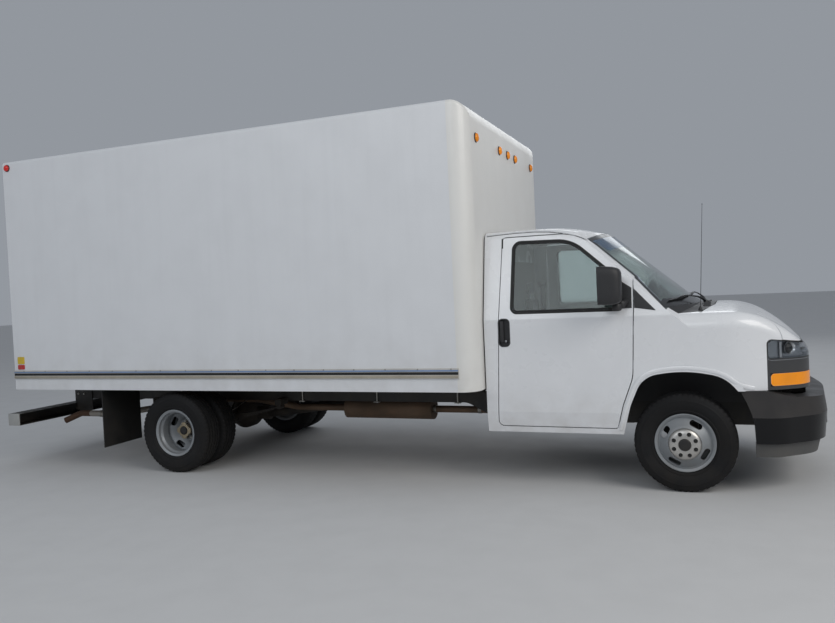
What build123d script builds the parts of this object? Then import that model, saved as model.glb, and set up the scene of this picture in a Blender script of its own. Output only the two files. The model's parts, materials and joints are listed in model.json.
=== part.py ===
from build123d import *
import math
import os

# Box truck on a twin-rear-wheel van chassis. Millimetres, x forward, y left, z up.
# Inside this file x counts from the front axle; SHIFT_X moves the truck to its own middle.

# Wheels and axles
TURN_GAP = 0.3
WHEELBASE = 4496
TYRE_RADIUS = 372
TYRE_WIDTH = 223
TREAD_WALL = 24
RIM_RADIUS = 203
RIM_WIDTH = 165
FLANGE_RADIUS = 220
FLANGE_WIDTH = 12
HUB_OFFSET = 128
PLATE = 8
HAND_HOLES = 4
HAND_HOLE = [(-48, 139, 19.9), (48, 139, 19.9), (48, 179, 19.9), (-48, 179, 19.9)]
STUDS = 8
STUD_CIRCLE = 82.5
STUD_RADIUS = 8
HUB_RADIUS = 60
SPINDLE = 30
DISC_RADIUS = 128
DISC_THICK = 34
DISC_BACK = 100
FRONT_TYRE_Y = 868
REAR_OUTER_Y = 1095
REAR_INNER_Y = REAR_OUTER_Y - 2 * HUB_OFFSET - PLATE - TURN_GAP
AXLE_Z = TYRE_RADIUS
AXLE_TUBE = 45
KINGPIN_Y = 800
KNUCKLE_LOW, KNUCKLE_HIGH = 262, 492

# Load box
CAB_BACK = -1505
SEAL = 12
BOX_FRONT = CAB_BACK - SEAL
BOX_LENGTH = 4920
BOX_BACK = BOX_FRONT - BOX_LENGTH
BOX_HALF = 1222
SKIRT_Z = 776
BOX_ROOF = 3087
BOX_CORNER = 145
BOX_EDGE = 35
WALL = 22
FLOOR_Z = 897
FLOOR_THICK = 30
REAR_FRAME_DEEP = 60
POST_WIDE = 90
HEADER_HIGH = 190
SILL_LOW = 790
CURTAIN = 25
CURTAIN_SET = 18
SLAT = 330
GROOVE = 8
RUB_LOW, RUB_HIGH, RUB_PROUD = 888, 969, 14
RUB_SLOT = (918, 941, 5)

# Cab and nose
CAB_HALF = 1006
BELT_TOP = 1392
ROOF_TOP = 2085
CROWN = 8000
NOSE_X = 896
ROCKER_Z = 430
CREASE_Z = 594
GLASS_RAKE = 40.5
GLASS_RADIUS = 3200
GLASS_FOOT = (39, 1468)
GLASS_THICK = 6
SHOULDER = 110
ROOF_EDGE = 85
GLASS_SET = 2
SKIN = 20
DOOR_WALL = 44
PANEL = 50
LINING = 95
DOOR_GAP = 7
HOOD_GAP = 6
FLOOR_LOW, FLOOR_HIGH = 612, 632
FLARE_WIDE, FLARE_PROUD = 40, 10
LINER_OUT, LINER_THICK = 30, 8
LAMP_BACK = 574
LAMP_IN = 600
BUMPER_UNDER = 768
SEAT_LOW, SEAT_HIGH = 790, 930
STEERING_AT = (-745, 420, 1175)
STEERING_RADIUS = 190
COLUMN_TILT = 40
BUMPER_X = 1035
BUMPER_BREAK, BUMPER_LOW, DAM_LOW = 576, 386, 281
BUMPER_WALL = 45
BUMPER_PEAK = 8.55

ENGINE_HALF = 250
COVER_HALF = 285
TUNNEL_HALF = 200
FLOOR_HALF = CAB_HALF - 121

# Chassis frame
RAIL_OUT = 432
RAIL_FLANGE = 64
RAIL_DEEP = 180
RAIL_TOP = 752
RAIL_STEEL = 6
RAIL_DROP = 150
FRAME_FRONT = 800
FRAME_BACK = BOX_BACK + 60
SPRING_Y = 520
SPRING_WIDE = 76

# Underride guard
GUARD_BACK = BOX_BACK - 155
GUARD_LOW, GUARD_HIGH = 400, 520
GUARD_HALF = 1200

SHIFT_X = -(BUMPER_X + GUARD_BACK) / 2
parts = {}


# Helpers

def outline(corners):
    """Closed face through corners (a, b) or (a, b, radius)."""
    points = [corner[:2] for corner in corners]
    radii = [corner[2] if len(corner) > 2 else 0 for corner in corners]
    return make_face(FilletPolyline(*points, radius=radii, close=True))


def both_sides(half):
    """Corners (a, b, radius) of one half, followed by their mirror image in b."""
    return half + [(x, -y, *rest) for x, y, *rest in reversed(half)]


def moved_in(corners, inset):
    """The outline with each side moved in by inset and its corner radii cut to match."""
    points = [Vector(*corner[:2]) for corner in corners]
    radii = [corner[2] if len(corner) > 2 else 0 for corner in corners]
    count = len(points)
    area = sum(a.cross(b).Z for a, b in zip(points, points[1:] + points[:1]))
    turn = 1 if area > 0 else -1
    inner = []
    for i in range(count):
        before = (points[i] - points[i - 1]).normalized()
        after = (points[(i + 1) % count] - points[i]).normalized()
        inward = [Vector(-way.Y, way.X) * turn for way in (before, after)]
        spread = (inward[0] + inward[1]) * (1 / (1 + inward[0].dot(inward[1])))
        place = points[i] + spread * inset
        convex = before.cross(after).Z * turn > 0
        radius = max(radii[i] - inset, 0) if convex else radii[i] + inset
        inner.append((place.X, place.Y, radius if radii[i] else 0))
    return outline(inner)


def side_prism(face, y0, y1):
    """Push a side-view face (x, z) from y0 to y1."""
    return extrude(Plane.XZ.offset(-y1) * face, amount=y1 - y0)


def plan_prism(face, z0, z1):
    """Push a plan face (x, y) from z0 up to z1."""
    return extrude(Plane.XY.offset(z0) * face, amount=z1 - z0, dir=(0, 0, 1))


def drafted(corners, z0, z1, shift):
    """Plan outline at z0 joined to the same outline moved in by shift at z1."""
    ends = [Plane.XY.offset(z0) * outline(corners), Plane.XY.offset(z1) * moved_in(corners, shift)]
    return loft(ends, ruled=True)


def cross_prism(face, x0, x1):
    """Push a cross-section face (y, z) from x0 to x1."""
    return extrude(Plane.YZ.offset(x0) * face, amount=x1 - x0)


def block(x0, x1, y0, y1, z0, z1):
    centre = Pos((x0 + x1) / 2, (y0 + y1) / 2, (z0 + z1) / 2)
    return centre * Box(abs(x1 - x0), abs(y1 - y0), abs(z1 - z0))


def rod_y(x, z, y0, y1, radius):
    return Pos(x, (y0 + y1) / 2, z) * Rot(90, 0, 0) * Cylinder(radius, abs(y1 - y0))


def rod_x(y, z, x0, x1, radius):
    return Pos((x0 + x1) / 2, y, z) * Rot(0, 90, 0) * Cylinder(radius, abs(x1 - x0))


def rod_z(x, y, z0, z1, radius):
    return Pos(x, y, (z0 + z1) / 2) * Cylinder(radius, abs(z1 - z0))


def rod_between(a, b, radius):
    """Round bar from point a to point b."""
    line = Vector(*b) - Vector(*a)
    middle = (Vector(*a) + Vector(*b)) * 0.5
    return Plane(origin=middle, z_dir=line) * Cylinder(radius, line.length)


def flip(shape):
    """The same piece on the other side of the truck."""
    return mirror(shape, about=Plane.XZ)


def keep(name, *shapes):
    """Store one node; several shapes stay as solids that don't touch."""
    parts[name] = Compound([solid for shape in shapes for solid in shape.solids()])


def keep_pair(name, *shapes):
    """A right-hand node and its mirror image as the left-hand node."""
    keep(name + "_right", *shapes)
    keep(name + "_left", *[flip(shape) for shape in shapes])


# Wheels, made about the y axis and then placed on an axle

def ring(section, y):
    """Revolve a wheel section of corners (radius, distance from y) about the axle line."""
    plane = Plane(origin=(0, y, 0), x_dir=(0, 0, 1), z_dir=(-1, 0, 0))
    return revolve(plane * outline(section), Axis((0, y, 0), (0, 1, 0)), 360)


def tyre(y):
    half, seat, bead = TYRE_WIDTH / 2, RIM_RADIUS + TURN_GAP, RIM_WIDTH / 2 - TURN_GAP
    section = [
        (TYRE_RADIUS, half - 14, 30),
        (290, half, 60),
        (FLANGE_RADIUS + 14, RIM_WIDTH / 2 + FLANGE_WIDTH, 8),
        (FLANGE_RADIUS + 6, bead, 5),
        (seat, bead),
        (seat + 16, bead - 14, 6),
        (TYRE_RADIUS - TREAD_WALL, half - TREAD_WALL, 24),
    ]
    return ring(both_sides(section), y)


def stud_spots():
    """The (x, z) places of the studs on their circle."""
    for number in range(STUDS):
        angle = math.radians(number * 360 / STUDS + 22.5)
        yield STUD_CIRCLE * math.cos(angle), STUD_CIRCLE * math.sin(angle)


def rim(y, dish):
    """Steel wheel: rolled barrel and a disc dished towards +y or -y (dish = 1 or -1)."""
    w, steel = RIM_WIDTH / 2, 8
    section = [
        (RIM_RADIUS - 14, w - 48, 8),
        (RIM_RADIUS, w - 30, 8),
        (RIM_RADIUS, w),
        (FLANGE_RADIUS, w),
        (FLANGE_RADIUS, w + FLANGE_WIDTH, 5),
        (FLANGE_RADIUS - steel, w + FLANGE_WIDTH, 3),
        (RIM_RADIUS - steel, w + 3, 4),
        (RIM_RADIUS - steel, w - 26, 8),
        (RIM_RADIUS - 22, w - 46, 8),
    ]
    barrel = ring(both_sides(section), y)
    face = HUB_OFFSET + PLATE / 2
    back = HUB_OFFSET - PLATE / 2
    disc = ring(
        [
            (RIM_RADIUS - 7, dish * 62),
            (RIM_RADIUS - 7, dish * 72),
            (RIM_RADIUS - 19, dish * 74, 8),
            (131, dish * (face - 12), 16),
            (112, dish * face, 10),
            (HUB_RADIUS + 2, dish * face),
            (HUB_RADIUS + 2, dish * back),
            (110, dish * back, 10),
            (125, dish * (face - 21), 14),
            (RIM_RADIUS - 23, dish * 64, 8),
        ],
        y,
    )
    slot = side_prism(outline(HAND_HOLE), y - 140, y + 140)
    for number in range(HAND_HOLES):
        disc -= Rot(0, number * 360 / HAND_HOLES + 30, 0) * slot
    for x, z in stud_spots():
        disc -= rod_y(x, z, y + dish * (back - 5), y + dish * (face + 5), STUD_RADIUS + 1)
    return barrel + disc


def hub(plate_y, out, reach):
    """Hub, wheel flange, studs and brake disc. plate_y is the seat of the wheel and out the
    direction away from the truck; the bore for the spindle is open on the inner side."""
    body = rod_y(0, 0, plate_y - out * (DISC_BACK + DISC_THICK), plate_y + out * reach, HUB_RADIUS)
    body += rod_y(0, 0, plate_y - out * 16, plate_y, 102)
    inner = plate_y - out * (DISC_BACK + DISC_THICK)
    body += rod_y(0, 0, inner, inner + out * DISC_THICK, DISC_RADIUS)
    for x, z in stud_spots():
        body += rod_y(x, z, plate_y - out * 16, plate_y + out * 30, STUD_RADIUS)
    return body - rod_y(0, 0, inner - out, plate_y + out * 10, SPINDLE + TURN_GAP)


def at_axle(shape, x):
    return Pos(x, 0, AXLE_Z) * shape


front_plate = -FRONT_TYRE_Y - HUB_OFFSET + PLATE / 2
rear_plate = -REAR_INNER_Y - HUB_OFFSET + PLATE / 2
keep_pair("front_tyre", at_axle(tyre(-FRONT_TYRE_Y), 0))
keep_pair("front_rim", at_axle(rim(-FRONT_TYRE_Y, -1), 0))
keep_pair("front_hub", at_axle(hub(front_plate, -1, 40), 0))
keep_pair("rear_tyres", *[at_axle(tyre(-y), -WHEELBASE) for y in (REAR_OUTER_Y, REAR_INNER_Y)])
rear_rims = [at_axle(rim(-y, dish), -WHEELBASE) for y, dish in ((REAR_OUTER_Y, 1), (REAR_INNER_Y, -1))]
keep_pair("rear_rims", *rear_rims)
keep_pair("rear_hub", at_axle(hub(rear_plate, -1, 90), -WHEELBASE))


# Front suspension and knuckles

def brake_caliper(inner):
    """Caliper and its bracket; inner is the distance of the disc's inner face from the middle."""
    body = block(88, 143, -inner - DISC_THICK - 26, -inner + 28, AXLE_Z - 30, AXLE_Z + 30)
    body -= block(60, DISC_RADIUS + 5, -inner - DISC_THICK - 6, -inner + 6, AXLE_Z - 40, AXLE_Z + 40)
    return body + block(0, 120, -inner + 6, -inner + 28, AXLE_Z - 18, AXLE_Z + 18)


def disc_inner(plate_y):
    return abs(plate_y) - DISC_BACK - DISC_THICK


def knuckle():
    inner = disc_inner(front_plate)
    body = block(-40, 40, -KINGPIN_Y - 25, -KINGPIN_Y + 25, KNUCKLE_LOW, KNUCKLE_HIGH)
    body += rod_y(0, AXLE_Z, -inner + 6, -KINGPIN_Y, 46)
    body += rod_y(0, AXLE_Z, front_plate - 8, -KINGPIN_Y, SPINDLE)
    body += block(-150, 0, -KINGPIN_Y - 12, -KINGPIN_Y + 20, 300, 322)
    body += brake_caliper(inner)
    return body + block(30, 60, -inner + 6, -KINGPIN_Y + 20, AXLE_Z - 18, AXLE_Z + 18)


def wishbone(tip_half, foot_half, window_foot, z0, z1):
    """Forked arm from the ball joint at the kingpin to its pivots on the frame."""
    tip, foot = -KINGPIN_Y - 28, -RAIL_OUT
    shape = [(-foot_half, foot), (-tip_half, tip, 20), (tip_half, tip, 20), (foot_half, foot)]
    wide = foot_half * 0.5
    window = [(-wide, window_foot, 10), (-tip_half * 0.4, tip + 98, 10)]
    window += [(tip_half * 0.4, tip + 98, 10), (wide, window_foot, 10)]
    return plan_prism(outline(shape) - outline(window), z0, z1)


LOWER_ARM = (236, KNUCKLE_LOW - TURN_GAP)
UPPER_ARM = (KNUCKLE_HIGH + TURN_GAP, 514)
CRADLE = (-110, 110, 224, 330)
lower_arm = wishbone(40, 185, -600, *LOWER_ARM)
upper_arm = wishbone(34, 120, -452, *UPPER_ARM)
damper = rod_between((0, -560, LOWER_ARM[1] - 6), (0, -500, 430), 26)
damper += rod_between((0, -516, 380), (0, -470, 560), 12)
damper += block(-40, 40, -500, -RAIL_OUT, 545, 575)
keep("front_suspension", lower_arm + damper, upper_arm, flip(lower_arm + damper), flip(upper_arm))
keep_pair("knuckle", knuckle())


# Chassis frame

def rail():
    """Right-hand channel: side outline pushed across, hollowed, open towards the middle."""
    def side(inset, run):
        top, low = RAIL_TOP - inset, RAIL_TOP - RAIL_DEEP + inset
        return outline([
            (FRAME_BACK - run, low), (FRAME_BACK - run, top),
            (-1860, top, 150), (-1570, top - RAIL_DROP, 150),
            (FRAME_FRONT + run, top - RAIL_DROP), (FRAME_FRONT + run, low - RAIL_DROP),
            (-1570, low - RAIL_DROP, 150), (-1860, low, 150),
        ])
    outer = side_prism(side(0, 0), -RAIL_OUT, -RAIL_OUT + RAIL_FLANGE)
    hollow = side_prism(side(RAIL_STEEL, 20), -RAIL_OUT + RAIL_STEEL, -RAIL_OUT + RAIL_FLANGE + 9)
    return outer - hollow


def cross_channel(x, z):
    reach = RAIL_OUT - RAIL_STEEL
    outer = block(x - 25, x + 25, -reach, reach, z - 42, z + 42)
    return outer - block(x - 19, x + 30, -reach, reach, z - 36, z + 36)


CROSS_X = (-6180, -5260, -3790, -2900, -1900)
rear_mid = RAIL_TOP - RAIL_DEEP / 2
front_mid = rear_mid - RAIL_DROP
keep("frame_rails", rail(), flip(rail()))
gearbox_support = block(-930, -870, -RAIL_OUT + RAIL_STEEL, RAIL_OUT - RAIL_STEEL, 467, 500)
keep(
    "crossmembers",
    *[cross_channel(x, rear_mid) for x in CROSS_X],
    cross_channel(640, front_mid),
    gearbox_support,
)
cradle = block(CRADLE[0], CRADLE[1], -RAIL_OUT, RAIL_OUT, CRADLE[2], CRADLE[3])
for side in (-1, 1):
    rail_low = RAIL_TOP - RAIL_DROP - RAIL_DEEP
    cradle += block(-80, 80, side * RAIL_OUT, side * (RAIL_OUT - 60), CRADLE[3], rail_low)
keep("front_crossmember", cradle)


# Rear axle on its leaf springs

def leaf_spring():
    """Stack of leaves, each shorter than the one above it, on one arc."""
    y0, y1 = -SPRING_Y - SPRING_WIDE / 2, -SPRING_Y + SPRING_WIDE / 2
    stack, thick, base, rise = None, 11, 520, 90
    for number, reach in enumerate((740, 640, 500, 350)):
        low = base - rise - thick * number
        radius = (740 ** 2 + rise ** 2) / (2 * rise) + thick * number
        ends = low + radius - math.sqrt(radius ** 2 - reach ** 2)
        upper = ThreePointArc((-reach, ends + thick), (0, low + thick), (reach, ends + thick))
        lower = ThreePointArc((-reach, ends), (0, low), (reach, ends))
        edges = [upper, Line(upper @ 1, lower @ 1), lower, Line(lower @ 0, upper @ 0)]
        leaf = side_prism(make_face(edges), y0, y1)
        stack = leaf if stack is None else stack + leaf
    for x in (-740, 740):
        stack += rod_y(x, base + 6, y0, y1, 24)
    stack += block(-30, 30, y0 - 8, y1 + 8, 380, 440)
    return Pos(-WHEELBASE, 0, 0) * stack


def spring_hanger(x):
    """Bracket from the rail's web out over the spring eye."""
    eye = -WHEELBASE + x
    return block(eye - 34, eye + 34, -SPRING_Y - 46, -RAIL_OUT, 545, 600)


tube_end = disc_inner(rear_plate) - 14
PINION_X = -WHEELBASE + 290
axle = rod_y(-WHEELBASE, AXLE_Z, -tube_end, tube_end, AXLE_TUBE)
banjo = [(0, -230), (AXLE_TUBE + 12, -230), (AXLE_TUBE + 20, -170, 60), (158, -70, 50)]
banjo += [(r, -y, *rest) for r, y, *rest in reversed(banjo)]
axle += at_axle(ring(banjo, 0), -WHEELBASE)
axle += rod_x(0, AXLE_Z, -WHEELBASE, PINION_X, 70)
spindle_end = -rear_plate + 8
axle += rod_y(-WHEELBASE, AXLE_Z, -spindle_end, spindle_end, SPINDLE)
axle_side = leaf_spring() + spring_hanger(-740) + spring_hanger(740)
axle_side += Pos(-WHEELBASE, 0, 0) * brake_caliper(disc_inner(rear_plate))
axle += axle_side + flip(axle_side)
keep("rear_axle", axle)


# Driveline, tank and exhaust

engine = block(-560, 380, -ENGINE_HALF, ENGINE_HALF, 500, 1060)
engine += cross_prism(outline([(-160, 500), (160, 500), (120, 790), (-120, 790)]), -1250, -560)
for side in (-1, 1):
    reach = side * (RAIL_OUT - RAIL_FLANGE)
    engine += block(-60, 60, side * ENGINE_HALF, reach, 570, RAIL_TOP - RAIL_DROP)
keep("engine", engine)
shaft = rod_between((-1250, 0, 580), (-2700, 0, 560), 38)
shaft += rod_between((-2700, 0, 560), (PINION_X, 0, AXLE_Z), 48)
shaft += block(-2740, -2660, -70, 70, 500, 620)
shaft += block(-2925, -2660, -60, 60, 596, rear_mid - 42)
shaft &= block(PINION_X, -1250, -200, 200, 200, 800)
keep("driveshaft", shaft)

tank_side = RAIL_OUT - RAIL_FLANGE
tank = outline([(75, 400, 60), (tank_side, 400, 60), (tank_side, 690, 60), (75, 690, 60)])
keep("fuel_tank", cross_prism(tank, -3600, -2980))


def pipe(route, radii, radius):
    """Round tube of the given outside radius along straight runs joined by arcs."""
    path = FilletPolyline(*route, radius=radii)
    start = Plane(origin=path @ 0, z_dir=path % 0)
    return sweep(start * Circle(radius), path=path)


MUFFLER = (-3150, -2250)
PIPE = 32
muffler_face = outline([(-350, 385, 90), (-150, 385, 90), (-150, 575, 90), (-350, 575, 90)])
exhaust = cross_prism(muffler_face, MUFFLER[0], MUFFLER[1])
exhaust += block(-2920, -2880, -270, -230, 570, rear_mid - 42)
engine_side = -ENGINE_HALF - PIPE - TURN_GAP
front_route = [(-2250, -250, 480), (-1500, -250, 480), (-1250, engine_side, 425)]
front_route += [(-420, engine_side, 425), (-300, engine_side, 520)]
exhaust += pipe(front_route, [200, 200, 80], PIPE)
rear_route = [(-3150, -250, 480), (-3700, -250, 480), (-4150, -300, 560), (-4750, -300, 560)]
rear_route += [(-5350, -300, 470), (-5700, -640, 440), (-6180, -640, 440), (-6330, -720, 370)]
exhaust += pipe(rear_route, [300, 300, 200, 200, 200, 90], PIPE)
keep("exhaust", exhaust)


# Load box: one rounded form, hollowed and split where the panels meet

SEAM_X = BOX_FRONT - BOX_CORNER - 15


def box_form(inset, low, back):
    side = [(back, low), (back, BOX_ROOF - inset), (BOX_FRONT - inset, BOX_ROOF - inset, BOX_CORNER - inset)]
    side += [(BOX_FRONT - inset, low)]
    half = [(back, -BOX_HALF + inset), (BOX_FRONT - inset, -BOX_HALF + inset, BOX_CORNER - inset)]
    half += [(BOX_FRONT - inset, BOX_HALF - inset, BOX_CORNER - inset), (back, BOX_HALF - inset)]
    width = BOX_HALF + 50
    return side_prism(outline(side), -width, width) & plan_prism(outline(half), low, BOX_ROOF + 50)


outer = box_form(0, SKIRT_Z, BOX_BACK)
top_edges = [
    edge for edge in outer.edges()
    if edge.center().Z > BOX_ROOF - 1 and abs(edge.center().Y) > BOX_HALF - 1
]
outer = fillet(top_edges, BOX_EDGE)
shell = outer - box_form(WALL, SKIRT_Z - 50, BOX_BACK - 50)
beyond = BOX_HALF + 100
roof_half = BOX_HALF - BOX_EDGE
keep("box_front", shell & block(SEAM_X, BOX_FRONT + 100, -beyond, beyond, 0, 4000))
box_side = shell & block(BOX_BACK - 9, SEAM_X, -beyond, -roof_half, 0, 4000)
keep("box_sides", box_side, flip(box_side))
keep("box_roof", shell & block(BOX_BACK - 9, SEAM_X, -roof_half, roof_half, 0, 4000))

inner_half = BOX_HALF - WALL
inner_front = BOX_FRONT - WALL
sill_top = FLOOR_Z - FLOOR_THICK
floor_outline = [(BOX_BACK + REAR_FRAME_DEEP, -inner_half), (inner_front, -inner_half, BOX_CORNER - WALL)]
floor_outline += [(inner_front, inner_half, BOX_CORNER - WALL), (BOX_BACK + REAR_FRAME_DEEP, inner_half)]
floor = plan_prism(outline(floor_outline), sill_top, FLOOR_Z)
SILL_FIRST, SILL_PITCH, SILL_COUNT = -1690, 405, 12
CROSS_SILL = 812
for number in range(SILL_COUNT):
    x = SILL_FIRST - number * SILL_PITCH
    floor += block(x - 22, x + 22, -inner_half, inner_half, CROSS_SILL, sill_top)
for side in (-1, 1):
    near, far = side * (RAIL_OUT - RAIL_FLANGE), side * RAIL_OUT
    floor += block(BOX_BACK + REAR_FRAME_DEEP, -1560, near, far, RAIL_TOP, sill_top)
keep("box_floor", floor)

frame_front = BOX_BACK + REAR_FRAME_DEEP
opening_half = inner_half - POST_WIDE
opening_top = BOX_ROOF - WALL - HEADER_HIGH
rear_frame = block(BOX_BACK, frame_front, -inner_half, inner_half, SILL_LOW, BOX_ROOF - WALL)
rear_frame -= block(BOX_BACK - 5, frame_front + 5, -opening_half, opening_half, FLOOR_Z, opening_top)
keep("rear_frame", rear_frame)
curtain_x = BOX_BACK + CURTAIN_SET
curtain = block(curtain_x, curtain_x + CURTAIN, -opening_half, opening_half, FLOOR_Z, opening_top)
slats = int((opening_top - FLOOR_Z) // SLAT)
for number in range(1, slats + 1):
    z = FLOOR_Z + number * SLAT
    curtain -= block(curtain_x - 5, curtain_x + GROOVE, -beyond, beyond, z - 5, z + 5)
keep("rear_door", curtain)


def rub_rail():
    body = block(BOX_BACK, BOX_FRONT - BOX_CORNER, -BOX_HALF - RUB_PROUD, -BOX_HALF, RUB_LOW, RUB_HIGH)
    low, high, deep = RUB_SLOT
    face = -BOX_HALF - RUB_PROUD
    return body - block(BOX_BACK - 5, BOX_FRONT, face - 5, face + deep, low, high)


keep("rub_rails", rub_rail(), flip(rub_rail()))
flap_x = SILL_FIRST - 9 * SILL_PITCH
flap = block(flap_x - 6, flap_x + 6, -1200, -690, 210, CROSS_SILL)
keep("mud_flaps", flap, flip(flap))

guard = block(GUARD_BACK, BOX_BACK - 5, -GUARD_HALF, GUARD_HALF, GUARD_LOW, GUARD_HIGH)
guard -= block(GUARD_BACK + 8, BOX_BACK + 5, -GUARD_HALF + 8, GUARD_HALF - 8, GUARD_LOW + 8, GUARD_HIGH - 8)
for side in (-1, 1):
    hanger = block(BOX_BACK - 20, FRAME_BACK + 160, side * RAIL_OUT, side * (RAIL_OUT + 12), 440, 745)
    guard += hanger
keep("underride_guard", guard)


# Cab: the outer form and its copies moved in by a wall thickness. The feature that takes most
# skill: doors, glass, hood, cowl, fenders, lamps and grille are all cut from these copies, so
# neighbouring panels share one surface and one thickness.

NOSE_SIDE = [
    (-1900, 100), (-1900, BELT_TOP), (484, BELT_TOP, 520),
    (765, 1205, 1000), (1000, 907), (1000, 100),
]
ROOF_SIDE = [
    (-1900, 1200), (-1900, ROOF_TOP), (-900, ROOF_TOP, 1500),
    (-300, 1926), (300, 1926), (300, 1200),
]
NOSE_PLAN = [
    (-1900, CAB_HALF), (530, CAB_HALF, 850), (868, CAB_HALF - 246, 255), (NOSE_X, 0, 1500),
    (868, -CAB_HALF + 246, 255), (530, -CAB_HALF, 850), (-1900, -CAB_HALF),
]
HOUSE_CROSS = [
    (CAB_HALF, 600), (CAB_HALF, 1330, 60), (CAB_HALF - 158, 2110),
    (-CAB_HALF + 158, 2110), (-CAB_HALF, 1330, 60), (-CAB_HALF, 600),
]
TUCK_CROSS = [
    (CAB_HALF - 31, 100), (CAB_HALF - 21, ROCKER_Z), (CAB_HALF, CREASE_Z),
    (CAB_HALF + 94, 700), (CAB_HALF + 94, 1600),
]
TUCK_CROSS += [(-y, z) for y, z in reversed(TUCK_CROSS)]


def crowned(face, top):
    """Turn a side-view face about a far-off line along x, so its top is gently crowned."""
    axis = Axis((0, 0, top - CROWN), (1, 0, 0))
    return revolve(Plane.XZ * face, axis, 18).rotate(axis, -9)


def long_edges_above(shape, z, side=0):
    """Shoulder edges: above z, at least side away from the middle, and not at the back end."""
    for edge in shape.edges():
        middle, size = edge.center(), edge.bounding_box().size
        if middle.Z > z and abs(middle.Y) >= side and middle.X > -1850 and size.X + size.Y > 20:
            yield edge


def cab_form(inset):
    """Outside of cab and nose, moved in by inset."""
    nose = crowned(moved_in(NOSE_SIDE, inset), BELT_TOP)
    nose &= plan_prism(moved_in(NOSE_PLAN, inset), 150, 1500)
    nose = fillet(list(long_edges_above(nose, 930 - inset)), SHOULDER - inset)
    nose &= cross_prism(moved_in(TUCK_CROSS, inset), -1950, 1100)
    house = crowned(moved_in(ROOF_SIDE, inset), ROOF_TOP)
    house &= cross_prism(moved_in(HOUSE_CROSS, inset), -1950, 1100)
    house = fillet(list(long_edges_above(house, 1900 - inset, 500)), max(ROOF_EDGE - inset, 5))
    rake = math.radians(GLASS_RAKE)
    normal = Vector(math.sin(rake), 0, math.cos(rake))
    centre = Vector(GLASS_FOOT[0], 0, GLASS_FOOT[1]) - normal * GLASS_RADIUS
    along = Vector(-math.cos(rake), 0, math.sin(rake))
    house &= Plane(origin=centre, z_dir=along) * Cylinder(GLASS_RADIUS - inset, 6000)
    return nose + house


INSETS = (0, GLASS_SET, GLASS_SET + GLASS_THICK, SKIN, DOOR_WALL, PANEL, LINING)
form = {inset: cab_form(inset) for inset in INSETS}
skin = form[0] - form[SKIN]
panel = form[0] - form[PANEL]
lining = form[PANEL] - form[LINING]
glazing = form[GLASS_SET] - form[GLASS_SET + GLASS_THICK]
ahead = CAB_HALF + 194

# Side-view outlines (x, z, radius) of what opens or is glazed
DOOR = [
    (-1412, 482, 40), (-1352, 1990, 30), (-740, 1990, 420), (-336, 1626), (-336, 1375),
    (-357, 870, 300), (-435, 660, 300), (-482, 478, 20),
]
WINDOW = [
    (-1277, 1384, 45), (-1262, 1948, 60), (-800, 1938, 300), (-425, 1603, 30), (-425, 1384, 20),
]
HANDLE = [(-1383, 1119, 30), (-1296, 1119, 30), (-1296, 1336, 30), (-1383, 1336, 30)]
TRIM = [(-1385, 520, 40), (-1365, 1350, 20), (-440, 1350, 40), (-440, 880, 100), (-520, 520, 60)]
GLASS = [
    (-684, 1946), (-540, 2060), (400, 2060), (400, BELT_TOP + 2), (-80, BELT_TOP + 2),
    (-98, 1372), (-336, 1628),
]
PILLAR = [
    (-840, 2020), (-690, 2020), (-262, 1640), (-262, 1480), (-330, 1480), (-330, 1560),
    (-700, 1900), (-840, 1960),
]
POST = [(-330, 1600), (-262, 1600), (-262, 700), (-330, 700)]
ARCH = [
    (-445, 100), (-437, 430), (-380, 655, 500), (-285, 875, 200), (20, 925, 900),
    (290, 870, 250), (400, 740, 200), (484, 420), (484, 100),
]


def through(corners, grow=0, right_only=False):
    """Side-view outline pushed across the truck, or only through its right-hand side."""
    return side_prism(moved_in(corners, -grow), -ahead, -600 if right_only else ahead)


arch = through(ARCH)
doorway = through(DOOR, DOOR_GAP)

house_inside = cross_prism(moved_in(HOUSE_CROSS, DOOR_WALL), -1950, 1100)
door = (form[0] - form[DOOR_WALL]) & through(DOOR, right_only=True)
door -= house_inside & block(-1950, 1100, -ahead, ahead, BELT_TOP + 20, 2200)
door += (form[DOOR_WALL] - form[LINING]) & through(TRIM, right_only=True)
door -= skin & through(HANDLE, right_only=True)
keep_pair("door", door - through(WINDOW, right_only=True))
keep_pair("door_glass", glazing & through(WINDOW, right_only=True))
keep("windshield", (glazing & through(GLASS)) - doorway)

# Cab shell: roof, back wall, pillars and the hinge posts with their hinge blocks
cab_zone = block(CAB_BACK, -500, -ahead, ahead, ROCKER_Z, 2200)
cab_zone += block(-501, -300, -ahead, ahead, 1640, 2200)
cab_shell = (panel & cab_zone) - doorway - through(GLASS)
cab_shell += form[SKIN] & block(CAB_BACK, CAB_BACK + 20, -ahead, ahead, FLOOR_HIGH, 2200)
cab_shell -= block(CAB_BACK - 5, CAB_BACK + 25, -TUNNEL_HALF + 20, TUNNEL_HALF - 20, 600, 820)
cab_shell += lining & through(PILLAR)
pillar_room = cross_prism(moved_in(HOUSE_CROSS, DOOR_WALL + DOOR_GAP), -1950, 1100)
cab_shell += ((form[0] - form[LINING]) & through(PILLAR)) & doorway & pillar_room
post = (form[SKIN] - form[LINING]) & through(POST)
cab_shell += post - through(ARCH, LINER_OUT + LINER_THICK + TURN_GAP)
for side in (-1, 1):
    cab_shell += block(-412, -325, side * (CAB_HALF - 101), side * (CAB_HALF - 61), 880, 1290)
for low in (930, 1190):
    hinges = (form[SKIN] - form[PANEL]) & block(-380, -325, -ahead, ahead, low, low + 70)
    cab_shell += hinges - through(DOOR, TURN_GAP)
keep("cab_shell", cab_shell)
seal_zone = block(BOX_FRONT, CAB_BACK, -ahead, ahead, SKIRT_Z, 2200)
keep("cab_seal", (form[SKIN] - form[LINING]) & seal_zone)

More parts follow.
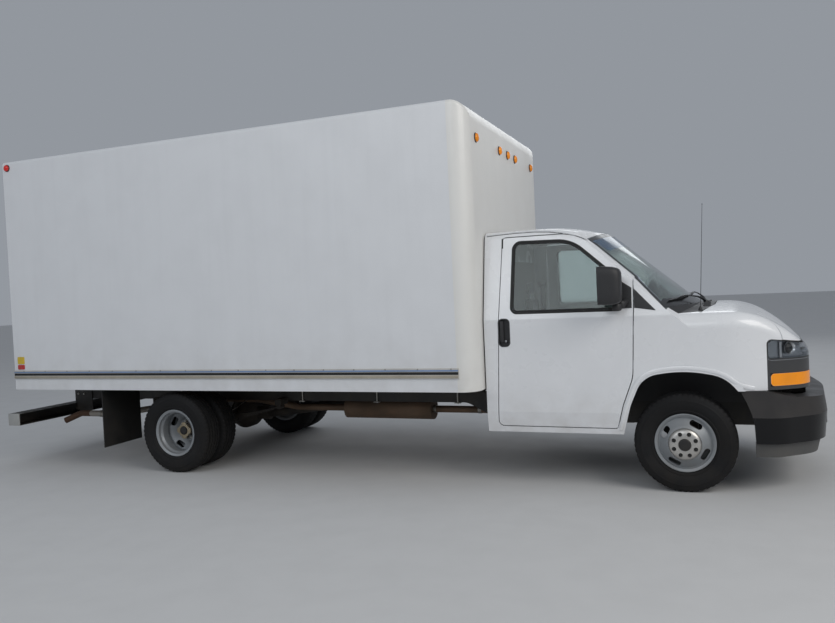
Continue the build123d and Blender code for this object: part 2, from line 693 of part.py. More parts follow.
# Nose: hood, cowl, fenders, lamps and grille are cut from one skin
HOOD_HALF = CAB_HALF - 138
HOOD_PLAN = [(150, HOOD_HALF), (640, HOOD_HALF), (700, HOOD_HALF + 27), (1000, HOOD_HALF + 282)]
HOOD_PLAN += [(x, -y) for x, y in reversed(HOOD_PLAN)] + [(240, -420), (255, 0), (240, 420)]
above_lamps = through([(500, 1155), (500, 1600), (940, 1600), (940, 1086)])
above_lamps += through([(140, 1000), (140, 1600), (510, 1600), (510, 1000)])
keep("hood", skin & plan_prism(outline(HOOD_PLAN), 900, 1600) & above_lamps)

hood_room = plan_prism(moved_in(HOOD_PLAN, -HOOD_GAP), 900, 1600)
COWL_PLAN = both_sides([(300, HOOD_HALF), (120, HOOD_HALF), (-98, CAB_HALF - 51)])
cowl_zone = plan_prism(outline(COWL_PLAN), 1250, BELT_TOP + 2)
cowl = (skin & cowl_zone) - hood_room - through(GLASS)
for side in (-1, 1):
    near, far = side * 640, side * 700
    cowl += form[SKIN] & block(90, 170, near, far, 1240, 1500)
    cowl += (Pos(0, 0, -TURN_GAP) * form[SKIN]) & block(165, 250, near, far, 1240, 1500)
keep("cowl", cowl)

LAMP_TOP = ((LAMP_BACK, 1137, 35), (940, 1080))
FENDER = [
    (-500, ROCKER_Z), (-500, 1100), (-400, 1100), (-400, 1690), (-336, 1628), (-98, 1372),
    (-98, BELT_TOP + 2), (760, BELT_TOP + 2), (760, 1114), LAMP_TOP[0], (LAMP_BACK, BUMPER_UNDER),
    (0, BUMPER_UNDER), (0, ROCKER_Z),
]
fender_zone = through(FENDER, right_only=True)
fender = (skin & fender_zone) - hood_room - cowl_zone - doorway - arch - through(GLASS)
flare = side_prism(moved_in(ARCH, -FLARE_WIDE), -CAB_HALF - FLARE_PROUD, -CAB_HALF + SKIN)
flare &= block(-400, 600, -ahead, 0, 838, 1100) + block(0, 600, -ahead, 0, BUMPER_UNDER, 900)
fender += (flare & fender_zone) - doorway - arch
keep("fenders", fender, flip(fender))
liner = moved_in(ARCH, -LINER_OUT - LINER_THICK) - moved_in(ARCH, -LINER_OUT)
liner = side_prism(liner, -ahead, -RAIL_OUT) & form[SKIN]
liner &= block(-500, LAMP_BACK, -ahead, 0, 602, 1200) - block(400, 600, -ahead, 0, 0, BUMPER_UNDER)
wall = side_prism(moved_in(ARCH, -LINER_OUT - LINER_THICK), -RAIL_OUT, -RAIL_OUT + LINER_THICK)
liner += wall & block(-500, LAMP_BACK, -ahead, 0, 602, 1200)
keep("arch_liners", liner, flip(liner))

front_zone = through([
    (LAMP_BACK, BUMPER_UNDER), *LAMP_TOP, (940, BUMPER_UNDER),
])
face = panel & front_zone
lamp = block(LAMP_BACK + 4, 950, -ahead, -LAMP_IN, 989, 1200)
turn_lamp = block(LAMP_BACK + 20, 950, -ahead, -LAMP_IN - 5, 792, 889)
keep("headlamps", lamp & face, flip(lamp & face))
keep("turn_lamps", turn_lamp & face, flip(turn_lamp & face))
grille = face - lamp - turn_lamp - flip(lamp) - flip(turn_lamp)
for low in (800, 865, 930, 995):
    grille -= block(700, 950, -LAMP_IN + 25, LAMP_IN - 25, low, low + 45)
keep("grille", grille)
radiator = block(700, 760, -RAIL_OUT, RAIL_OUT, RAIL_TOP - RAIL_DROP, 1030)
for side in (-1, 1):
    radiator += form[PANEL] & block(750, 900, side * 300, side * 345, 775, 797)
keep("radiator", radiator)

# Front bumper and the air dam under it
BUMPER_PLAN = [(-200, CAB_HALF + 6), (650, CAB_HALF + 6, 250), (975, CAB_HALF - 266, 380)]
BUMPER_PLAN += [(BUMPER_X + BUMPER_PEAK, 0, 2000)]
BUMPER_PLAN += [(975, -CAB_HALF + 266, 380), (650, -CAB_HALF - 6, 250), (-200, -CAB_HALF - 6)]
bumper_side = [
    (388, BUMPER_UNDER), (560, BUMPER_UNDER), (760, 715), (1080, 690), (1080, BUMPER_LOW),
    (485, BUMPER_LOW), (478, 520), (462, 600), (430, 685),
]
bumper = drafted(BUMPER_PLAN, BUMPER_BREAK, 800, 31) + drafted(BUMPER_PLAN, BUMPER_BREAK, 370, 18)
bumper &= through(bumper_side)
bumper -= plan_prism(moved_in(BUMPER_PLAN, 140), 300, 900)
bumper -= plan_prism(moved_in(BUMPER_PLAN, BUMPER_WALL + 20), 300, 660)
for side in (-1, 1):
    inner, outer_y = side * (RAIL_OUT - RAIL_FLANGE), side * RAIL_OUT
    bumper += block(FRAME_FRONT, 962, inner, outer_y, 440, 600)
keep("front_bumper", bumper)
dam = drafted(BUMPER_PLAN, BUMPER_BREAK, 200, 90) & block(484, 1100, -ahead, ahead, DAM_LOW, BUMPER_LOW)
keep("air_dam", dam - plan_prism(moved_in(BUMPER_PLAN, 105), 200, 500))


# Inside the cab

wall_back = CAB_BACK + 20
cab_floor = block(wall_back, -500, -FLOOR_HALF, FLOOR_HALF, FLOOR_LOW, FLOOR_HIGH)
toe = [(-520, FLOOR_LOW), (-520, FLOOR_HIGH), (-412, 880), (-400, 874), (-500, FLOOR_LOW)]
cab_floor += side_prism(outline(toe), -FLOOR_HALF, FLOOR_HALF)
cab_floor += block(-412, -400, -CAB_HALF + 101, CAB_HALF - 101, 874, 1290)
for side in (-1, 1):
    near, far = side * (FLOOR_HALF - 20), side * FLOOR_HALF
    cab_floor += block(wall_back, -500, near, far, ROCKER_Z, FLOOR_HIGH)
    cab_floor += form[PANEL] & block(wall_back, -500, near, side * ahead, ROCKER_Z, 465)
    for x in (-1380, -720):
        cab_floor += block(x - 40, x + 40, side * 372, side * 430, RAIL_TOP - RAIL_DROP, FLOOR_LOW)
cab_floor -= block(-620, -300, -COVER_HALF, COVER_HALF, 400, 1105)
cab_floor -= block(-1600, -600, -TUNNEL_HALF, TUNNEL_HALF, 400, 840)
for side in (-1, 1):
    cab_floor += block(-1320, -900, side * 290, side * 700, FLOOR_HIGH, SEAT_LOW)
keep("cab_floor", cab_floor)
cover = block(-620, -388, -COVER_HALF, COVER_HALF, FLOOR_LOW, 1105)
cover += block(wall_back, -600, -TUNNEL_HALF, TUNNEL_HALF, FLOOR_LOW, 840)
cover -= block(-600, -300, -COVER_HALF + 20, COVER_HALF - 20, 400, 1085)
cover -= block(-1600, -500, -TUNNEL_HALF + 20, TUNNEL_HALF - 20, 400, 820)
keep("engine_cover", cover)

DASH = [
    (-412, 930), (-412, 1290), (60, 1335), (60, 1362), (-400, 1372, 30), (-560, 1300, 60),
    (-600, 1150, 40), (-520, 950, 40),
]
dash = side_prism(outline(DASH), -FLOOR_HALF + 5, FLOOR_HALF - 5) & form[PANEL]
dash -= block(-900, -250, -COVER_HALF - 1, COVER_HALF + 1, 600, 1106)
tilt = math.radians(COLUMN_TILT)
toward = Vector(-math.cos(tilt), 0, math.sin(tilt))
wheel_at = Vector(*STEERING_AT)
dash += rod_between(tuple(wheel_at - toward * 44), tuple(wheel_at - toward * 300), 34)
keep("dashboard", dash)
plane = Plane(origin=wheel_at, x_dir=(0, 1, 0), z_dir=toward)
steering = plane * Torus(STEERING_RADIUS, 15)
steering += plane * Pos(0, 0, -20) * Cylinder(48, 46)
for angle in (200, 340, 90 + 180):
    spoke = Pos(STEERING_RADIUS / 2, 0, -14) * Box(STEERING_RADIUS - 20, 36, 12)
    steering += plane * Rot(0, 0, angle) * spoke
keep("steering_wheel", steering)

seats = []
wall_x = wall_back + TURN_GAP
back_face = [(-1345, SEAT_HIGH + 6, 20), (-1415, 1480, 20), (wall_x, 1480), (-1450, SEAT_HIGH + 6, 20)]
head_face = [(-1420, 1470), (-1430, 1640, 20), (wall_x, 1640), (wall_x, 1470)]
for side in (-1, 1):
    middle = side * 500
    cushion = block(-1340, -870, middle - 240, middle + 240, SEAT_LOW, SEAT_HIGH)
    back = side_prism(outline(back_face), middle - 235, middle + 235)
    back += side_prism(outline(head_face), middle - 130, middle + 130)
    seats += [fillet(cushion.edges(), 30), back]
keep("seats", *seats)


# Mirrors on the doors

SAIL = [(-425, 1392), (-425, 1628), (-345, 1556), (-345, 1392)]
sail = ((Pos(0, -6, 0) * form[0]) - form[0]) & through(SAIL, right_only=True)
MIRROR = [
    (-560, -56, 25), (-560, -244, 25), (-440, -244, 70), (-395, -154, 60), (-395, -56, 40),
]
housing = Pos(0, -CAB_HALF, 0) * plan_prism(outline(MIRROR), 1428, 1715)
mirror_piece = sail + housing
mirror_piece += rod_between((-385, -CAB_HALF + 21, 1440), (-440, -CAB_HALF - 104, 1400), 22)
mirror_piece += rod_z(-440, -CAB_HALF - 104, 1372, 1440, 34)
keep_pair("mirror", mirror_piece - form[0])


# Write every node, moved to the truck's own middle

os.makedirs("parts", exist_ok=True)
for name, shape in parts.items():
    export_step(Pos(SHIFT_X, 0, 0) * shape, f"parts/{name}.step")
print(len(parts), "nodes, shift", SHIFT_X)
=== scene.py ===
# %% [markdown]
# # A box truck, finished piece by piece
# The truck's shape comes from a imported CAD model, which is loaded here as a fixed frame. Each
# cell below adds one piece or one finish to it. Everything is in metres: x runs forward, y to
# the truck's left and z up, with the ground at z = 0.

# %% load the frame
import json
import math
import bmesh
import bpy
from mathutils import Matrix, Vector
from mathutils.bvhtree import BVHTree


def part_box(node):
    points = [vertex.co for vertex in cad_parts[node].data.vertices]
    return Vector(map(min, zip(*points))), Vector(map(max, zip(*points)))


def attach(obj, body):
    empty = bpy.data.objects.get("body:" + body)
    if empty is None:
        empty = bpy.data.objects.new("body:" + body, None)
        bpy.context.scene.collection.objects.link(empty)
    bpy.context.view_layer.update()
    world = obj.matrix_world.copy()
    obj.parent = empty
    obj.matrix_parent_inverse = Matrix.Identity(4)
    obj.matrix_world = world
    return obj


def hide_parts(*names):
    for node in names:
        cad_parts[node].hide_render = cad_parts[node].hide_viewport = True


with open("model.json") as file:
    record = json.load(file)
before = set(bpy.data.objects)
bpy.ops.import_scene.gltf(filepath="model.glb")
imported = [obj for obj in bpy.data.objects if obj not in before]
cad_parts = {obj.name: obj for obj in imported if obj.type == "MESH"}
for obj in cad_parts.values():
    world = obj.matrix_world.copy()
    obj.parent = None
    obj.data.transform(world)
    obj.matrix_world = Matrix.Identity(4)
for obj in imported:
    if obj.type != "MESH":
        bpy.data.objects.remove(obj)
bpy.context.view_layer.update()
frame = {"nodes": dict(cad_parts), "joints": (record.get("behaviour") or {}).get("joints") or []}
nodes = frame["nodes"]

# %% [markdown]
# Pieces are placed from the joints and from the nodes' own boxes, so they stay in place when
# the CAD changes. Places below count x from the front axle, which is read from a wheel joint.

# %% places taken from the frame
JOINT_AT = {j["name"]: Vector(j["pos_m"]) for j in frame["joints"]}
FRONT_AXLE, REAR_AXLE = JOINT_AT["wheel_front_right_spin"], JOINT_AT["wheel_rear_right_spin"]
X0 = FRONT_AXLE.x
SIDES = {"right": -1, "left": 1}
UP, DOWN, AHEAD, BACKWARD = (Vector(way) for way in ((0, 0, 1), (0, 0, -1), (1, 0, 0), (-1, 0, 0)))


def node_box(name):
    low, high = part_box(name)
    return Vector(low), Vector(high)


def spot(x, y, z):
    """A point whose x counts from the front axle."""
    return Vector((X0 + x, y, z))


print("front axle", tuple(round(v, 3) for v in FRONT_AXLE), "rear axle x", round(REAR_AXLE.x, 3))

# %% [markdown]
# ## Camera
# The photograph was taken by someone standing beside the front wheel, with the lens about 1.6 m
# above the ground, turned a little towards the back of the truck and slightly tilted. A camera
# is a place, a direction and a lens: the direction is given here as three turns.

# %% camera
CAMERA_FROM_AXLE = (0.2758, -6.9324, 1.6072)
YAW, PITCH, ROLL = 0.3777, -0.0289, -0.0464
LENS_MM, SENSOR_MM, FAR_CLIP = 32.92, 36.0, 200

ahead = Vector((-math.sin(YAW) * math.cos(PITCH), math.cos(YAW) * math.cos(PITCH), math.sin(PITCH)))
level = Vector((math.cos(YAW), math.sin(YAW), 0))
upright = level.cross(ahead)
right = level * math.cos(ROLL) + upright * math.sin(ROLL)
up = upright * math.cos(ROLL) - level * math.sin(ROLL)
camera_data = bpy.data.cameras.new("photo_camera")
camera_data.lens, camera_data.sensor_width = LENS_MM, SENSOR_MM
camera_data.clip_end = FAR_CLIP
camera = bpy.data.objects.new("photo_camera", camera_data)
bpy.context.collection.objects.link(camera)
camera_turn = Matrix((right, up, -ahead)).transposed().to_4x4()
camera.matrix_world = Matrix.Translation(spot(*CAMERA_FROM_AXLE)) @ camera_turn
bpy.context.scene.camera = camera
print("camera at", tuple(round(v, 3) for v in spot(*CAMERA_FROM_AXLE)))

# %% [markdown]
# ## Helpers for meshes
# Most added pieces are one of four kinds: a shape turned about a line, a flat outline with
# thickness, a tube along a path, or a box with rounded edges. The first three are all rows of
# rings with faces laid between them, so one function makes the faces for all of them.

# %% mesh helpers
SMOOTH_ANGLE, BEVEL_ANGLE, BEVEL_SMOOTH = (math.radians(a) for a in (35, 30, 40))


def new_object(name, mesh):
    piece = bpy.data.objects.new(name, mesh)
    bpy.context.collection.objects.link(piece)
    return piece


def mesh_of(name, verts, faces, merge=True):
    """A mesh whose faces point outwards."""
    mesh = bpy.data.meshes.new(name)
    mesh.from_pydata([tuple(v) for v in verts], [], faces)
    work = bmesh.new()
    if merge:
        mesh.validate()
    work.from_mesh(mesh)
    if merge:
        bmesh.ops.remove_doubles(work, verts=work.verts, dist=1e-6)
    bmesh.ops.recalc_face_normals(work, faces=work.faces)
    work.to_mesh(mesh)
    work.free()
    return mesh


def smoothed(piece, angle=SMOOTH_ANGLE):
    piece.data.shade_smooth()
    piece.data.set_sharp_from_angle(angle=angle)
    return piece


def settle(piece):
    """Turn a piece's modifiers into plain mesh."""
    graph = bpy.context.evaluated_depsgraph_get()
    mesh = bpy.data.meshes.new_from_object(piece.evaluated_get(graph))
    piece.modifiers.clear()
    piece.data = mesh


def add(name, look, shape, body="chassis", smooth=True, bevel=None):
    """A new piece from vertices and faces, riding on a body. bevel: width and segments."""
    piece = new_object(name, mesh_of(name, *shape))
    piece.data.materials.append(look)
    if smooth:
        smoothed(piece)
    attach(piece, body)
    if bevel:
        modifier = piece.modifiers.new("round_edges", "BEVEL")
        modifier.width, modifier.segments = bevel
        modifier.limit_method, modifier.angle_limit = "ANGLE", BEVEL_ANGLE
        settle(piece)
        smoothed(piece, BEVEL_SMOOTH)
    return piece


def skinned(rings, closed=False):
    """Vertices and faces over a row of rings; closed joins the last ring to the first."""
    rings = [list(ring) for ring in rings]
    n, rows = len(rings[0]), len(rings)
    faces = []
    for i in range(rows if closed else rows - 1):
        a, b = i * n, (i + 1) % rows * n
        faces += [(a + k, a + (k + 1) % n, b + (k + 1) % n, b + k) for k in range(n)]
    if not closed:
        faces += [tuple(range(n)), tuple((rows - 1) * n + k for k in range(n))]
    return [p for ring in rings for p in ring], faces


def moved(verts, offset, turn=None):
    """The vertices after an optional turn (a 3x3 matrix) and then a shift."""
    offset = Vector(offset)
    return [((turn @ Vector(v)) if turn else Vector(v)) + offset for v in verts]


def turned(profile, count=64, axis="Y", at=(0, 0, 0), flip=1, turn=None):
    """A profile (radius, along) turned about an axis and placed; flip -1 points it backwards."""
    rings = []
    for i in range(count):
        c, s = math.cos(math.tau * i / count), math.sin(math.tau * i / count)
        if axis == "X":
            rings.append([(h * flip, r * c, r * s) for r, h in profile])
        elif axis == "Y":
            rings.append([(r * c, h * flip, r * s) for r, h in profile])
        else:
            rings.append([(r * c, r * s, h * flip) for r, h in profile])
    verts, faces = skinned(rings, closed=True)
    return moved(verts, at, turn), faces


def joined(shapes):
    """One list of vertices and faces from many."""
    verts, faces = [], []
    for some_verts, some_faces in shapes:
        faces += [tuple(i + len(verts) for i in face) for face in some_faces]
        verts += list(some_verts)
    return verts, faces


def slab(low, high):
    """A plain box between two corners."""
    (x0, y0, z0), (x1, y1, z1) = low, high
    verts = [(x, y, z) for x in (x0, x1) for y in (y0, y1) for z in (z0, z1)]
    return verts, [(0, 1, 3, 2), (4, 6, 7, 5), (0, 4, 5, 1), (2, 3, 7, 6), (0, 2, 6, 4), (1, 5, 7, 3)]


def rect(u0, v0, u1, v1):
    return [(u0, v0), (u1, v0), (u1, v1), (u0, v1)]


def rounded_outline(points, radii, steps=5):
    """A closed outline with every corner turned into an arc, of one radius or one each."""
    out = []
    for i, corner in enumerate(points):
        corner = Vector(corner)
        radius = radii[i] if isinstance(radii, list) else radii
        before = (Vector(points[i - 1]) - corner).normalized()
        after = (Vector(points[(i + 1) % len(points)]) - corner).normalized()
        half = before.angle(after) / 2
        reach = radius / math.tan(half)
        centre = corner + (before + after).normalized() * radius / math.sin(half)
        a, b = corner + before * reach - centre, corner + after * reach - centre
        out += [centre + (a * (1 - k / steps) + b * (k / steps)).normalized() * radius for k in range(steps + 1)]
    return out


def plate(outline, thickness, place_at):
    """A flat outline (u, v) given a thickness; place_at(u, v, depth) puts each point in space."""
    return skinned([[place_at(u, v, depth) for u, v in outline] for depth in (0, thickness)])


def band(outer, inner, thickness, place_at):
    """A flat ring between two outlines with the same number of points."""
    corners = ((outer, 0), (outer, thickness), (inner, thickness), (inner, 0))
    return skinned([[place_at(u, v, depth) for u, v in line] for line, depth in corners], closed=True)


def tube(points, radius, sides=10):
    """A round bar through points, with one radius or one for each point."""
    points = [Vector(p) for p in points]
    rings, side = [], None
    for i, point in enumerate(points):
        way = (points[min(i + 1, len(points) - 1)] - points[max(i - 1, 0)]).normalized()
        guess = side if side is not None else (UP if abs(way.z) < 0.9 else AHEAD)
        side = (guess - way * guess.dot(way)).normalized()
        other = way.cross(side)
        r = radius[i] if isinstance(radius, list) else radius
        turns = [math.tau * k / sides for k in range(sides)]
        rings.append([point + side * r * math.cos(a) + other * r * math.sin(a) for a in turns])
    return skinned(rings)


print("helpers ready")

# %% [markdown]
# ## Helpers for finishes
# A finish is a Principled surface whose colour, roughness and bump change over the piece. Three
# effects come back in many finishes, so each is one shader node group: fine grain, dust that
# lies thicker near the road, and streaks that rain draws down a wall.

# %% shader groups
def node(tree, kind, inputs=None, **settings):
    """A shader node. Inputs are sockets to link or plain values to set."""
    made = tree.nodes.new("ShaderNode" + kind)
    for key, value in settings.items():
        setattr(made, key, value)
    for key, value in (inputs or {}).items():
        if isinstance(value, bpy.types.NodeSocket):
            tree.links.new(value, made.inputs[key])
        else:
            made.inputs[key].default_value = value
    return made


def maths(tree, operation, first, second, clamp=False):
    return node(tree, "Math", {0: first, 1: second}, operation=operation, use_clamp=clamp).outputs[0]


def spread(tree, value, low, high):
    """A value stretched so that low becomes 0 and high becomes 1."""
    return node(tree, "MapRange", {"Value": value, "From Min": low, "From Max": high}).outputs[0]


def noise(tree, place, scale, detail):
    return node(tree, "TexNoise", {"Vector": place, "Scale": scale, "Detail": detail}).outputs[0]


def new_group(name, inputs, outputs, build):
    """A shader group; build(tree, place, inputs) gives the sockets for its outputs."""
    group = bpy.data.node_groups.new(name, "ShaderNodeTree")
    for title, default in inputs.items():
        group.interface.new_socket(title, in_out="INPUT", socket_type="NodeSocketFloat").default_value = default
    for title in outputs:
        group.interface.new_socket(title, in_out="OUTPUT", socket_type="NodeSocketFloat")
    start, end = group.nodes.new("NodeGroupInput"), group.nodes.new("NodeGroupOutput")
    place = node(group, "TexCoord").outputs["Object"]
    for title, made in zip(outputs, build(group, place, start.outputs)):
        group.links.new(made, end.inputs[title])
    return group


def build_grain(tree, place, given):
    """Fine grain: a height for bump and a soft mask for colour."""
    fine = noise(tree, place, maths(tree, "DIVIDE", 1.0, given["Size"]), 3)
    height = maths(tree, "MULTIPLY", fine, given["Contrast"])
    return height, spread(tree, noise(tree, place, 3.5, 5), 0.38, 0.68)


def build_dust(tree, place, given):
    """Road dust: full at Low metres above the ground, gone at High, broken up by noise."""
    z = node(tree, "SeparateXYZ", {0: place}).outputs["Z"]
    height = spread(tree, z, given["High"], given["Low"])
    broken = spread(tree, noise(tree, place, 7, 7), 0.3, 0.75)
    return (maths(tree, "MULTIPLY", maths(tree, "MULTIPLY", height, broken), given["Amount"]),)


def build_streaks(tree, place, given):
    """Faint marks that run down a wall, from noise stretched along z."""
    stretch = node(tree, "VectorMath", {0: place, 1: (1, 1, 0.06)}, operation="MULTIPLY").outputs[0]
    marks = noise(tree, stretch, maths(tree, "DIVIDE", 1.0, given["Width"]), 4)
    return (maths(tree, "MULTIPLY", spread(tree, marks, 0.48, 0.75), given["Amount"]),)


GRAIN = new_group("fine_grain", {"Size": 0.002, "Contrast": 1.0}, ("Height", "Mask"), build_grain)
DUST = new_group("road_dust", {"Low": 0.1, "High": 1.0, "Amount": 0.6}, ("Mask",), build_dust)
STREAKS = new_group("rain_streaks", {"Width": 0.05, "Amount": 0.5}, ("Mask",), build_streaks)
print("groups", GRAIN.name, DUST.name, STREAKS.name)

# %% [markdown]
# One function puts the groups together, because every finish on the truck is the same recipe
# with other amounts: a base colour that drifts a little, dust over it, roughness that follows
# both, and grain as bump. What is the same all over, such as metal or coat, is set directly on
# the surface's own socket.

# %% finish
DUST_COLOUR = (0.32, 0.27, 0.21, 1)
SOCKETS = {"metallic": "Metallic", "coat": "Coat Weight", "sheen": "Sheen Weight", "ior": "IOR",
           "transmission": "Transmission Weight", "specular": "Specular IOR Level"}


def mixed(tree, factor, first, second):
    """Mix two colours by a mask."""
    return node(tree, "Mix", {"Factor": factor, 6: first, 7: second}, data_type="RGBA").outputs[2]


def shaded(colour, amount):
    return tuple(v * amount for v in colour) + (1,)


def surface_of(material):
    return material.node_tree.nodes["Principled BSDF"].inputs


def dress(material, names):
    """Give CAD nodes a finish."""
    for name in names.split():
        for place in nodes[name].material_slots:
            place.material = material


def finish(name, colour, rough, drift=0.12, grain=(0.002, 0.15), dust=(0.1, 0.9, 0.4), streaks=None,
           emission=None, slot=None, on="", **more):
    """A finish. grain: size and strength; dust: low, high, amount; on: CAD nodes that wear it."""
    material = bpy.data.materials.new(name)
    material.use_nodes = True
    tree, surface = material.node_tree, surface_of(material)
    size, strength = grain
    fine = node(tree, "Group", node_tree=GRAIN)
    fine.inputs["Size"].default_value = size
    mask = fine.outputs["Mask"]
    shade = mixed(tree, mask, (*colour, 1), shaded(colour, 1 - drift))
    gloss = node(tree, "MapRange", {"Value": mask, "To Min": max(rough - 0.05, 0.02),
                                    "To Max": min(rough + 0.08, 1)}).outputs[0]
    if streaks:
        marks = node(tree, "Group", node_tree=STREAKS)
        marks.inputs["Width"].default_value, marks.inputs["Amount"].default_value = streaks
        shade = mixed(tree, marks.outputs["Mask"], shade, shaded(colour, 0.72))
    if dust:
        dirt = node(tree, "Group", node_tree=DUST)
        for title, value in zip(("Low", "High", "Amount"), dust):
            dirt.inputs[title].default_value = value
        shade = mixed(tree, dirt.outputs["Mask"], shade, DUST_COLOUR)
        rougher = maths(tree, "MULTIPLY", dirt.outputs["Mask"], 0.5)
        gloss = maths(tree, "ADD", gloss, rougher, clamp=True)
    tree.links.new(shade, surface["Base Color"])
    tree.links.new(gloss, surface["Roughness"])
    if strength:
        bump = node(tree, "Bump", {"Height": fine.outputs["Height"], "Strength": strength, "Distance": size * 0.5})
        tree.links.new(bump.outputs[0], surface["Normal"])
    surface["Coat Roughness"].default_value = 0.05
    for key, value in {"ior": 1.5, **more}.items():
        surface[SOCKETS[key]].default_value = value
    if emission:
        surface["Emission Color"].default_value = (*emission[0], 1)
        surface["Emission Strength"].default_value = emission[1]
    dress(material, on)
    return material


print("finish ready")

# %% [markdown]
# ## Paint, plastic, rubber and metal
# The cab is glossy white enamel with a clear coat. The load box is duller white sheet with a
# moulded cap at its front, and both look a little blue in the open shade of the photograph.
# Black parts differ mostly in gloss: grained plastic, satin bumper coat, worn rubber.

# %% body finishes
CAB_PAINT = finish("cab_enamel", (0.80, 0.81, 0.83), 0.28, 0.03, (0.004, 0.03), (0.35, 0.85, 0.35), coat=0.6,
                   slot="cab_paint", on="cab_shell door_left door_right hood fenders")
finish("box_sheet", (0.78, 0.79, 0.81), 0.42, 0.03, (0.012, 0.04), (0.75, 1.3, 0.15), (0.09, 0.08),
       on="box_sides box_roof")
finish("box_gelcoat", (0.81, 0.80, 0.77), 0.36, 0.025, (0.006, 0.02), (0.75, 1.2, 0.15), (0.12, 0.06),
       coat=0.15, on="box_front")
finish("rub_rail_metal", (0.66, 0.64, 0.60), 0.42, grain=(0.002, 0.1), dust=(0.8, 1.0, 0.3), metallic=0.55,
       on="rub_rails")
finish("rear_frame_paint", (0.74, 0.73, 0.70), 0.38, 0.08, (0.004, 0.08), (0.7, 1.4, 0.35), (0.05, 0.3),
       on="rear_frame")
finish("roll_door_paint", (0.77, 0.77, 0.76), 0.4, 0.06, (0.006, 0.06), (0.8, 1.4, 0.3), (0.08, 0.25),
       on="rear_door")
BLACK_PLASTIC = finish("grained_black_plastic", (0.025, 0.025, 0.027), 0.5, grain=(0.0012, 0.35),
                       dust=(0.2, 1.0, 0.12), slot="black_plastic",
                       on="cowl mirror_left mirror_right arch_liners steering_wheel")
GLOSS_BLACK = finish("gloss_black_edge", (0.008, 0.008, 0.009), 0.18, grain=(0.004, 0.02), dust=None,
                     slot="clear_glass")
SEAL_RUBBER = finish("window_rubber", (0.012, 0.012, 0.012), 0.6, grain=(0.0015, 0.2), dust=(0.2, 0.9, 0.1),
                     slot="black_rubber", on="cab_seal")
BUMPER_COAT = finish("satin_bumper_coat", (0.038, 0.036, 0.036), 0.34, 0.15, (0.0014, 0.2), (0.3, 0.9, 0.1),
                     specular=0.3, on="front_bumper")
finish("grey_dam_plastic", (0.085, 0.086, 0.085), 0.55, grain=(0.0016, 0.3), dust=(0.2, 0.6, 0.12), on="air_dam")
CHASSIS_PAINT = finish("chassis_black", (0.014, 0.0135, 0.013), 0.5, 0.3, (0.003, 0.25), (0.2, 0.9, 0.2),
                       slot="chassis_paint",
                       on="frame_rails crossmembers front_crossmember fuel_tank underride_guard")
AXLE_IRON = finish("axle_iron", (0.028, 0.025, 0.023), 0.65, 0.4, (0.003, 0.5), (0.1, 0.9, 0.3), metallic=0.3,
                   slot="axle_iron", on="rear_axle front_suspension knuckle_left knuckle_right driveshaft")
finish("hub_iron", (0.24, 0.20, 0.16), 0.55, 0.35, (0.002, 0.4), (0.1, 0.8, 0.35), metallic=0.7,
       on="front_hub_left front_hub_right rear_hub_left rear_hub_right")
RUSTY_STEEL = finish("exhaust_steel", (0.20, 0.13, 0.085), 0.62, 0.45, (0.002, 0.5), (0.2, 0.8, 0.4),
                     metallic=0.6, on="exhaust")
finish("wheel_enamel", (0.30, 0.32, 0.34), 0.42, 0.12, (0.0022, 0.1), (0.0, 0.8, 0.3), metallic=0.35,
       on="front_rim_left front_rim_right rear_rims_left rear_rims_right")
finish("engine_casting", (0.10, 0.10, 0.10), 0.7, 0.3, (0.004, 0.6), metallic=0.5, on="engine")
finish("radiator_black", (0.02, 0.02, 0.02), 0.5, grain=(0.003, 0.4), metallic=0.4, on="radiator")
finish("load_floor_wood", (0.34, 0.22, 0.12), 0.6, 0.35, (0.003, 0.3), (0.7, 1.2, 0.3), (0.02, 0.5),
       on="box_floor")
FLAP_RUBBER = finish("flap_rubber", (0.009, 0.009, 0.009), 0.75, grain=(0.003, 0.35), dust=(0.1, 0.8, 0.1),
                     slot="black_rubber", on="mud_flaps")
finish("cab_mat", (0.05, 0.05, 0.052), 0.8, grain=(0.003, 0.5), dust=(0.4, 0.9, 0.2), on="cab_floor")
DASH_PLASTIC = finish("dash_plastic", (0.16, 0.155, 0.15), 0.62, grain=(0.0016, 0.4), dust=None,
                      slot="dash_plastic", on="dashboard engine_cover")
TRIM_CHROME = finish("bright_metal", (0.62, 0.62, 0.63), 0.16, 0.06, (0.004, 0.03), (0.1, 0.9, 0.15),
                     metallic=1.0, slot="black_plastic")
BOLT_ZINC = finish("zinc_bolts", (0.42, 0.41, 0.38), 0.35, 0.2, (0.001, 0.2), (0.1, 0.9, 0.3), metallic=0.9,
                   slot="chassis_paint")
CAP_BLACK = finish("cap_black", (0.012, 0.012, 0.013), 0.3, grain=(0.003, 0.1), dust=(0.1, 0.8, 0.1),
                   slot="black_plastic")
BUMPER_STEP_Z, TAILPIPE_X, TAIL_END_X = 0.576, -4.9, -6.04


def below(material, axis, limit, colour, rough):
    """Where x or z is below a limit, the finish turns into a second colour and gloss."""
    tree, surface = material.node_tree, surface_of(material)
    parts = node(tree, "SeparateXYZ", {0: node(tree, "TexCoord").outputs["Object"]})
    under = maths(tree, "LESS_THAN", parts.outputs[axis], limit)
    shade, gloss = (surface[title].links[0].from_socket for title in ("Base Color", "Roughness"))
    tree.links.new(mixed(tree, under, shade, (*colour, 1)), surface["Base Color"])
    both = node(tree, "Mix", {"Factor": under, "A": gloss, "B": rough})
    tree.links.new(both.outputs[0], surface["Roughness"])


